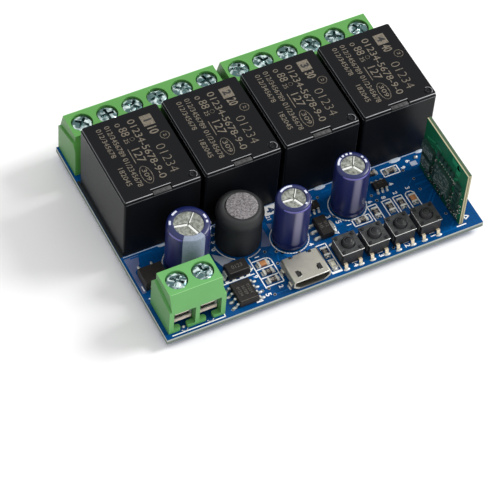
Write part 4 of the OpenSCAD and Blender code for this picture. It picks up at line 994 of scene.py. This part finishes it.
class RELAYMODULE_OT_capacitor_prints(bpy.types.Operator):
    """Print the stripe and dashes on the capacitor sleeves, and paint a highlight along their shoulders"""
    bl_idname = "relaymodule.capacitor_prints"
    bl_label = "Capacitor prints"

    def execute(self, context):
        stripe_ink = printed_ink("pale grey sleeve print", context.scene.relay_module_colours.stripe, 0.85)
        white = printed_ink("white sleeve print", "#dfe3f2", 0.75)
        shine = bmesh.new()
        names = numbered("sleeve_print", len(CAPS))
        for cap, name, prints, shines in zip(CAPS, names, SHOULDER_PRINTS, SHOULDER_HIGHLIGHTS):
            radius, height = cap[2] / 2, cap[3]
            side = radius + FILM
            if cap == CAPS[0]:
                bm = bmesh.new()
                printed_film(bm, cap, [
                    (side - 0.3, 0.05), (side, 0.4), (side, 1.35), (side - 0.3, 1.7), (side, 2.05),
                    (side, height - 0.73), (side - 0.12, height - 0.23), (radius - 0.5, height + FILM),
                    (radius * 0.7 + 0.1, height + FILM)], -130, -68, 16)
                finish_piece("polarity_stripe", bm, stripe_ink)
            bm = bmesh.new()
            for start, end in prints:
                lip = [(radius - 0.9, height + FILM), (radius - 0.52, height + FILM)]
                printed_film(bm, cap, lip, start, end, 6)
            for start, end in ((-40, -28), (-20, -12), (-4, 4)):
                printed_film(bm, cap, [(side - 0.08, height - 0.4), (side - 0.02, height - 0.58)], start, end,
                             4)
            for k in range(4):
                low = height - 2.2 - 1.7 * k
                printed_film(bm, cap, [(side, low), (side, low + 0.9)], -34 + 3 * (k % 2), -27, 3)
                printed_film(bm, cap, [(side, low + 0.2), (side, low + 0.75)], -18, -13 + 2 * (k % 2), 3)
            finish_piece(name, bm, white)
            # Painted highlight: a paler band along the outer edge of the shoulder
            printed_film(shine, cap, [(side - 0.13, height - 0.2), (side - 0.04, height - 0.52)], *shines, 20)
        finish_piece("sleeve_shoulder_painted_highlight", shine, shrink_sleeve("painted highlight on sleeve shoulder", "#6c66b4",
                                                                   "#4a4592",
                                                                   0.25, 0.01, 0.3))
        return {"FINISHED"}


class RELAYMODULE_OT_coil_face(bpy.types.Operator):
    """Set the coil's drum a little askew in the mouth of its sleeve, tipped to the front left"""
    bl_idname = "relaymodule.coil_face"
    bl_label = "Coil face"

    def execute(self, context):
        radius, thick, height, tip = 2.93, 0.5, 9.7, math.radians(4)
        tip_axis = Vector((0.857, -0.515, 0))
        bm = bmesh.new()
        tipped = Matrix.Rotation(tip, 4, tip_axis)
        bmesh.ops.create_cone(bm, cap_ends=True, segments=56, radius1=radius, radius2=radius, depth=thick,
                              matrix=Matrix.Translation((COIL[0] + 0.3, COIL[1] - 0.08, height)) @ tipped)
        rims = [edge for edge in bm.edges if len({vert.co.z > height for vert in edge.verts}) == 1]
        bmesh.ops.bevel(bm, geom=rims, offset=0.1, affect="EDGES", segments=3, profile=0.5, material=-1)
        finish_piece("coil_top_face", bm, speckled_ferrite("sintered ferrite face"))
        return {"FINISHED"}


class RELAYMODULE_OT_can_scores(bpy.types.Operator):
    """Draw the score on each can's top: a painted highlight on a flank and a dark line of painted shade
    beside it
    """
    bl_idname = "relaymodule.can_scores"
    bl_label = "Can scores"

    def execute(self, context):
        bright, dark = bmesh.new(), bmesh.new()
        # How far the cans' tops lie off their nominal height
        proud = board_box("capacitor_cans")[1].z - max(cap[3] for cap in CAPS)
        for cap, turn in zip(CAPS, (47, 55, 58)):
            reach, top = cap[2] / 2 * 0.66, proud + cap[3]
            # Three grooves: the width of each flank and where it starts from the middle
            for k, (wide, start) in enumerate(((0.16, 0.2), (0.42, 0.3), (0.42, 0.3))):
                ahead = Matrix.Rotation(math.radians(turn + 120 * k), 3, "Z") @ Vector((1, 0, 0))
                aside = Vector((-ahead.y, ahead.x, 0))
                # The painted highlight goes on the flank that faces the front, where the light falls
                if aside.y > 0:
                    aside.negate()
                for bm, offset, width, rise in ((bright, wide / 2, wide, 0.02), (dark, -0.08, 0.14, 0.026)):
                    middle = Vector((cap[0], cap[1], 0)) + aside * offset
                    stroke(bm, [(middle + ahead * r)[:2] for r in (start, reach)], width, top - 0.1,
                           top + rise)
        finish_piece("score_painted_highlights", bright, plated_metal("painted highlight on score flank", "#ffffff", "#e3e5dc",
                                                          0.25, 0.3, 0.01, 0.8))
        finish_piece("score_painted_shade", dark, moulded_plastic("painted shade in score line", "#43453f", "#2c2e29",
                                                          0.6, 0.3, 0.01))
        return {"FINISHED"}


# Laser figures on the chips: x, y, height of the top, turn, size of the figures and rows
CHIP_FIGURES = [
    (16.9, 3.35, 1.55, -90, 0.85, ("01234", "56789", "01234")), (17.8, 8.35, 2.1, 0, 1.1, ("0123",)),
    (37, 15.9, 1.2, 0, 0.7, ("012",)), (51, 15.2, 1.2, 0, 0.7, ("012",)),
    (36.7, 10.6, 1.55, -90, 0.9, ("012", "345")),
]


class RELAYMODULE_OT_small_parts(bpy.types.Operator):
    """Make the resistors, ceramic capacitors and the status lamp"""
    bl_idname = "relaymodule.small_parts"
    bl_label = "Small parts"

    def execute(self, context):
        bodies, caps, figures, marks, ceramics = [bmesh.new() for _ in range(5)]
        for i, part in enumerate(RESISTORS):
            chip_block(bodies, part, 0, 1.44, 1.0, 0.02, 0.5, 0.04)
            x, y, turn = part
            number(figures, str((i * 3 + 1) % 10) + "01", turned(x, y, 0.5, turn), 0.85, 1.15, MARK, 0.01)
        for part in CHIP_CAPS:
            chip_block(ceramics, part, 0, 1.22, 1.0, 0.02, 0.58, 0.06)
        for part in RESISTORS + CHIP_CAPS:
            for side in (-1, 1):
                chip_block(caps, part, side * 0.84, 0.32, 1.04, 0.02, 0.53, 0.06)
        for x, y, top, turn, size, rows in CHIP_FIGURES:
            for k, text in enumerate(rows):
                up = ((len(rows) - 1) / 2 - k) * size * 1.15
                place = turned(x, y, top, turn) @ Matrix.Translation((0, up, 0))
                number(marks, text, place, size, thick=MARK, weight=0.0)
        # Painted highlights: pale lines along the front top edges of the buck chip and the diode
        stroke(marks, [(15.2, 1.25), (18.6, 1.25)], 0.08, 1.5, 1.565)
        stroke(marks, [(15.95, 7.2), (19.65, 7.2)], 0.09, 2.05, 2.115)
        lamp = bmesh.new()
        block(lamp, *LAMP[:2], 1.1, 1.24, 0.02, 0.3, 0.03)
        block(lamp, *LAMP[:2], 0.92, 1.04, 0.28, 0.62, 0.14)

        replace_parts(finish_piece("resistor_bodies", bodies, moulded_plastic(
            "black resistor glaze", "#3a322e", "#1d1917", 0.35, 0.3, 0.03)), "passives")
        finish_piece("chip_end_caps", caps, plated_metal(
            "dull tinned end caps", "#8a8c7b", "#484b3f", 0.45, 0.3, 0.05))
        finish_piece("resistor_numbers", figures, printed_ink("pale resistor print", "#b9b1a8", 0.8))
        finish_piece("chip_figures_and_edge_highlights", marks, printed_ink("grey chip print and painted edge highlight", "#65625c", 0.6))
        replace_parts(finish_piece("ceramic_capacitor_bodies", ceramics, moulded_plastic(
            "tan capacitor ceramic", "#c98d5c", "#a86c3e", 0.45, 0.25, 0.02)), "passives")
        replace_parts(finish_piece("status_lamp", lamp, lamp_resin("clear lamp resin")), "passives")
        return {"FINISHED"}


class RELAYMODULE_OT_socket_details(bpy.types.Operator):
    """Put the contact strips and latch springs in the USB socket, and paint shade into its openings"""
    bl_idname = "relaymodule.socket_details"
    bl_label = "Socket details"

    def execute(self, context):
        x, y, width, depth, top = USB
        proud = top + 0.02
        contacts, springs, openings = bmesh.new(), bmesh.new(), bmesh.new()
        for contact in USB_CONTACTS:
            slab(contacts, (contact - 0.14, y + 0.95, 1.41), (contact + 0.14, y + 3.4, 1.46))
            slab(contacts, (contact - 0.12, y + depth - 0.9, 0.02), (contact + 0.12, y + depth + 0.45, 0.16),
                 0.03)
        for side in (-1, 1):
            # Latch spring: its bent end in the mouth and its root; its opening and one at the back are dark
            # plates of painted shade
            bend, root, rear = x + side * 1.9, x + side * 2.2, x + side * 2.0
            slab(springs, (bend - 0.24, y + 0.86, top - 0.36), (bend + 0.24, y + 1.2, top - 0.02), 0.06)
            slab(springs, (root - 0.3, y + 0.82, top - 0.02), (root + 0.3, y + 0.94, proud), 0.02)
            slab(openings, (root - 0.36, y + 0.94, top - 0.4), (root + 0.36, y + 2.3, proud))
            slab(openings, (rear - 0.3, y + depth - 0.5, top - 0.02),
                 (rear + 0.3, y + depth + 0.01, top + 0.012))
        # Rolled rim of the mouth
        half = width / 2 - 0.5
        slab(springs, (x - half, y - 0.02, top - 0.3), (x + half, y + 0.1, proud), 0.05)
        finish_piece("socket_contacts", contacts, plated_metal(
            "gold plated contacts", "#e8c173", "#b98a3c", 0.25, 0.2, 0.01))
        finish_piece("socket_springs", springs, plated_metal(
            "bright spring steel", "#f0efe8", "#bdbbb0", 0.25, 0.3, 0.02))
        finish_piece("socket_openings_painted_shade", openings, moulded_plastic(
            "painted shade in shell openings", "#1c1b1a", "#0e0d0d", 0.7, 0.3, 0.02))
        return {"FINISHED"}


class RELAYMODULE_OT_switch_details(bpy.types.Operator):
    """Add the bare metal edges and rivets of the push switches, with painted highlights as pale rings round
    the rivets, the windows and on the buttons
    """
    bl_idname = "relaymodule.switch_details"
    bl_label = "Switch details"

    def execute(self, context):
        painted_highlight = moulded_plastic("nylon button ring with painted highlight", "#5a5b5c", "#2b2c2d", 0.4, 0.2, 0.03)
        edges, rims, rivets = bmesh.new(), bmesh.new(), bmesh.new()
        front, top = SWITCH_Y - SWITCH_W / 2, SWITCH_H
        for x in SWITCH_X:
            left, right = x - SWITCH_W / 2, x + SWITCH_W / 2
            slab(edges, (left + 0.05, front - 0.015, top - 0.08), (right - 0.05, front + 0.065, top + 0.012),
                 0.02)
            slab(edges, (left - 0.015, front + 0.05, top - 0.08), (left + 0.05, front + 3.9, top + 0.012),
                 0.02)
            # Painted highlights: pale rings round the window and round each rivet
            stroke(rims, arc(x, SWITCH_Y, 1.42, 0, 360, 28), 0.1, top - 0.02, top + 0.04)
            for dx in (-1.62, 1.62):
                for dy in (-1.62, 1.62):
                    stroke(rims, arc(x + dx, SWITCH_Y + dy, 0.42, 0, 360, 16), 0.09, top - 0.02, top + 0.05)
                    post(rivets, x + dx, SWITCH_Y + dy, top - 0.05, top + 0.1, 0.38, 0.3)
        finish_piece("switch_bare_edges", edges, plated_metal(
            "bare steel edge", "#ffffff", "#dcdad0", 0.25, 0.2, 0.01))
        finish_piece("switch_rivets", rivets, moulded_plastic(
            "black nylon rivet", "#1b1c1d", "#0d0d0e", 0.5, 0.2, 0.03))
        # Turned rings on the buttons, drawn pale as painted highlights, which move with them
        for x, button, name in zip(SWITCH_X, numbered("button", 4), numbered("button_rings", 4)):
            face = board_box(button)[1].z
            ring = bmesh.new()
            for radius, start, end in ((0.85, 0, 360), (0.45, 30, 290)):
                stroke(ring, arc(x, SWITCH_Y, radius, start, end), 0.08, face - 0.2, face + 0.012)
            finish_piece(name, ring, painted_highlight, button)
        finish_piece("switch_window_rims", rims, moulded_plastic(
            "painted highlight on switch rims", "#5d6063", "#2e3032", 0.4, 0.2, 0.03))
        return {"FINISHED"}


# Tracks of the radio board: width, then points in y and z
RADIO_TRACKS = [
    (0.5, [(14.6, 8.4), (12.8, 9.4), (11.4, 9.2)]), (0.4, [(13.4, 7.2), (11, 8.4), (9.6, 8.4)]),
    (0.45, [(9, 7.8), (7.8, 8.8), (6.6, 9)]), (0.35, [(5.6, 8.9), (4.2, 10)]),
    (1.2, [(4.4, 11), (4.4, 13), (6.8, 13)]), (0.5, [(15.4, 9.9), (12.4, 11.2), (10.4, 11)]),
]


class RELAYMODULE_OT_radio_details(bpy.types.Operator):
    """Cover the upright radio board with its small parts, solder dots and painted glints"""
    bl_idname = "relaymodule.radio_details"
    bl_label = "Radio board details"

    def execute(self, context):
        order = random.Random(context.scene.relay_module_sizes.seed)
        mask = context.scene.relay_module_colours.radio_mask
        face, back = RADIO_X, RADIO_Y + RADIO_L
        dots, chips, tracks, rims, flecks, mask_edge = [bmesh.new() for _ in range(6)]
        # Legs of the main chip and the memory chip
        for y, z, length, tall, _, legs, _ in RADIO_CHIPS:
            for i in range(legs):
                middle = RADIO_Y + y + length / legs * (i + 0.5)
                for edge in (z - 0.3, z + tall + 0.05):
                    slab(dots, (face - 0.16, middle - 0.1, edge), (face, middle + 0.1, edge + 0.22))
        # Loose small parts with bright ends, dense below and none in the upper band
        for _ in range(130):
            y = RADIO_Y + order.uniform(0.6, RADIO_L - 0.6)
            z = order.uniform(0.7, 8.8 - 2.2 * (y - RADIO_Y) / RADIO_L)
            tall = order.random() < 0.5
            half_y, half_z = (0.14, 0.3) if tall else (0.3, 0.14)
            slab(chips, (face - 0.34, y - half_y, z - half_z), (face, y + half_y, z + half_z), 0.03)
            for out in (-0.34, 0.34):
                end_y, end_z = (y, z + out) if tall else (y + out, z)
                slab(dots, (face - 0.3, end_y - 0.08, end_z - 0.08), (face, end_y + 0.08, end_z + 0.08), 0.03)
        for _ in range(120):
            y = order.uniform(0.5, RADIO_L - 0.5)
            z = order.uniform(0.5, 9.2 - 2.2 * y / RADIO_L)
            mound(dots, face, RADIO_Y + y, z, 0.16, 0.22, 0.11)
        # Painted glints: grey flecks over the chips' faces
        for chip_y, chip_z, length, tall, deep, _, count in RADIO_CHIPS:
            for _ in range(count):
                y = RADIO_Y + chip_y + order.uniform(0.1, length - 0.1)
                z = chip_z + order.uniform(0.1, tall - 0.1)
                long, high = order.uniform(0.06, 0.2), order.uniform(0.04, 0.09)
                slab(flecks, (face - deep - 0.02, y - long, z - high),
                     (face - deep + 0.02, y + long, z + high))
        # Two joints at the foot of the board
        mound(dots, face, RADIO_Y + 1.6, 1.0, 0.7, 0.7, 0.35)
        mound(dots, face, RADIO_Y + 2.7, 0.7, 0.5, 0.5, 0.3)
        # Faint tracks under the mask, and the aerial's feed
        for width, points in RADIO_TRACKS:
            stroke(tracks, points, width, high=0.03)
        tracks.transform(Matrix(((0, 0, -1, face), (1, 0, 0, 0), (0, 1, 0, 0), (0, 0, 0, 1))))
        # Mask laps over the top edge, and the laminate's brown core shows in the front edge
        slab(mask_edge, (face + 0.24, RADIO_Y + 0.02, RADIO_H - 0.05),
             (face + 0.79, back - 0.02, RADIO_H + 0.012))
        slab(rims, (face + 0.31, RADIO_Y - 0.012, 0.2), (face + 0.49, RADIO_Y + 0.03, RADIO_H - 0.1))
        finish_piece("radio_painted_glints", flecks, printed_ink("painted glints on the chips", "#8c9893", 0.6))
        finish_piece("radio_top_edge", mask_edge, moulded_plastic(
            "mask over the top edge", "#3c5a37", "#263d26", 0.5, 0.4, 0.03))
        finish_piece("radio_solder_dots", dots, reflowed_solder("radio board solder"))
        finish_piece("radio_small_parts", chips, moulded_plastic(
            "dark ceramic chips", "#2b443d", "#0e1312", 0.35, 0.35, 0.05))
        finish_piece("radio_tracks", tracks, raised_mask("green mask over copper", linear(mask, 1.8), mask))
        finish_piece("radio_edge_core", rims, moulded_plastic(
            "brown laminate core", "#8c7a5a", "#5f5440", 0.7, 0.4, 0.03))
        return {"FINISHED"}


class RELAYMODULE_OT_stage(bpy.types.Operator):
    """Lay the pale floor, set the soft lights and place the camera"""
    bl_idname = "relaymodule.stage"
    bl_label = "Stage"

    def execute(self, context):
        scene = context.scene
        stage = scene.relay_module_stage
        bm = bmesh.new()
        bmesh.ops.create_grid(bm, x_segments=1, y_segments=1, size=1.5)
        mesh = bpy.data.meshes.new("floor")
        bm.to_mesh(mesh)
        bm.free()
        floor = bpy.data.objects.new("floor", mesh)
        scene.collection.objects.link(floor)
        # Matt white paper: bright, with a very faint mottle
        mesh.materials.append(two_tone("matt white paper", (stage.floor, linear(stage.floor, 0.99)),
                                       (40, 2.0), Roughness=0.9, Specular_IOR_Level=0.1))

        world = bpy.data.worlds.new("soft studio")
        world.use_nodes = True
        scene.world = world
        tree = world.node_tree
        # The background shows as white; the light that it gives is weaker
        rays = [add_node(tree, "LightPath", out=kind)
                for kind in ("Is Camera Ray", "Is Glossy Ray", "Is Transmission Ray")]
        seen = add_node(tree, "Math", {0: rays[0], 1: rays[1]}, operation="MAXIMUM")
        seen = add_node(tree, "Math", {0: seen, 1: rays[2]}, operation="MAXIMUM")
        strength = add_node(tree, "MapRange", {"Value": seen, "To Min": stage.sky, "To Max": 1.0})
        background = tree.nodes["Background"]
        background.inputs["Color"].default_value = (1, 1, 1, 1)
        tree.links.new(strength, background.inputs["Strength"])

        lamp = bpy.data.lights.new("key", "AREA")
        lamp.shape, lamp.size, lamp.energy = "DISK", 0.35, stage.key
        key = bpy.data.objects.new("key", lamp)
        key.location = (0.62, -0.08, 0.52)
        key.rotation_euler = (-key.location).to_track_quat("-Z", "Y").to_euler()
        scene.collection.objects.link(key)

        # Fitted to the corners of the relays and the rows of screws in the photo
        camera = bpy.data.objects.new("camera", bpy.data.cameras.new("camera"))
        camera.data.lens, camera.data.sensor_width = stage.lens, 36.0
        camera.data.clip_start, camera.data.clip_end = 0.01, 20.0
        camera.location = (-0.15434, -0.25305, BOARD_HIGH.z + 0.37325)
        camera.rotation_euler = [math.radians(angle) for angle in (36.836, -3.232, -26.63)]
        scene.collection.objects.link(camera)
        scene.camera = camera
        scene.view_settings.view_transform = "Standard"
        return {"FINISHED"}


class RELAYMODULE_PT_sidebar(bpy.types.Panel):
    """Lists the steps that dress the relay module, with their sizes and colours"""
    bl_label = "Relay Module"
    bl_idname = "RELAYMODULE_PT_sidebar"
    bl_space_type = "VIEW_3D"
    bl_region_type = "UI"
    bl_category = "Relay Module"

    def draw(self, context):
        for step in STEPS:
            self.layout.operator(step.bl_idname)
        for name in GROUPS:
            group = getattr(context.scene, name)
            box = self.layout.box()
            for key in group.bl_rna.properties.keys():
                if key not in ("rna_type", "name"):
                    box.prop(group, key)


STEPS = [
    RELAYMODULE_OT_finishes, RELAYMODULE_OT_terminal_details, RELAYMODULE_OT_board_print,
    RELAYMODULE_OT_copper, RELAYMODULE_OT_solder, RELAYMODULE_OT_relay_marks, RELAYMODULE_OT_capacitor_prints,
    RELAYMODULE_OT_coil_face, RELAYMODULE_OT_can_scores, RELAYMODULE_OT_small_parts,
    RELAYMODULE_OT_socket_details, RELAYMODULE_OT_switch_details, RELAYMODULE_OT_radio_details,
    RELAYMODULE_OT_stage,
]
GROUPS = {"relay_module_colours": RelayModuleColours, "relay_module_sizes": RelayModuleSizes,
          "relay_module_stage": RelayModuleStage}


def register():
    for name, group in GROUPS.items():
        bpy.utils.register_class(group)
        setattr(bpy.types.Scene, name, PointerProperty(type=group))
    for step in STEPS + [RELAYMODULE_PT_sidebar]:
        bpy.utils.register_class(step)


def unregister():
    for step in reversed(STEPS + [RELAYMODULE_PT_sidebar]):
        bpy.utils.unregister_class(step)
    for name, group in reversed(GROUPS.items()):
        delattr(bpy.types.Scene, name)
        bpy.utils.unregister_class(group)


def main():
    register()
    bpy.ops.relaymodule.finishes()
    bpy.ops.relaymodule.terminal_details()
    bpy.ops.relaymodule.board_print()
    bpy.ops.relaymodule.copper()
    bpy.ops.relaymodule.solder()
    bpy.ops.relaymodule.relay_marks()
    bpy.ops.relaymodule.capacitor_prints()
    bpy.ops.relaymodule.coil_face()
    bpy.ops.relaymodule.can_scores()
    bpy.ops.relaymodule.small_parts()
    bpy.ops.relaymodule.socket_details()
    bpy.ops.relaymodule.switch_details()
    bpy.ops.relaymodule.radio_details()
    bpy.ops.relaymodule.stage()


if __name__ == "__main__":
    main()
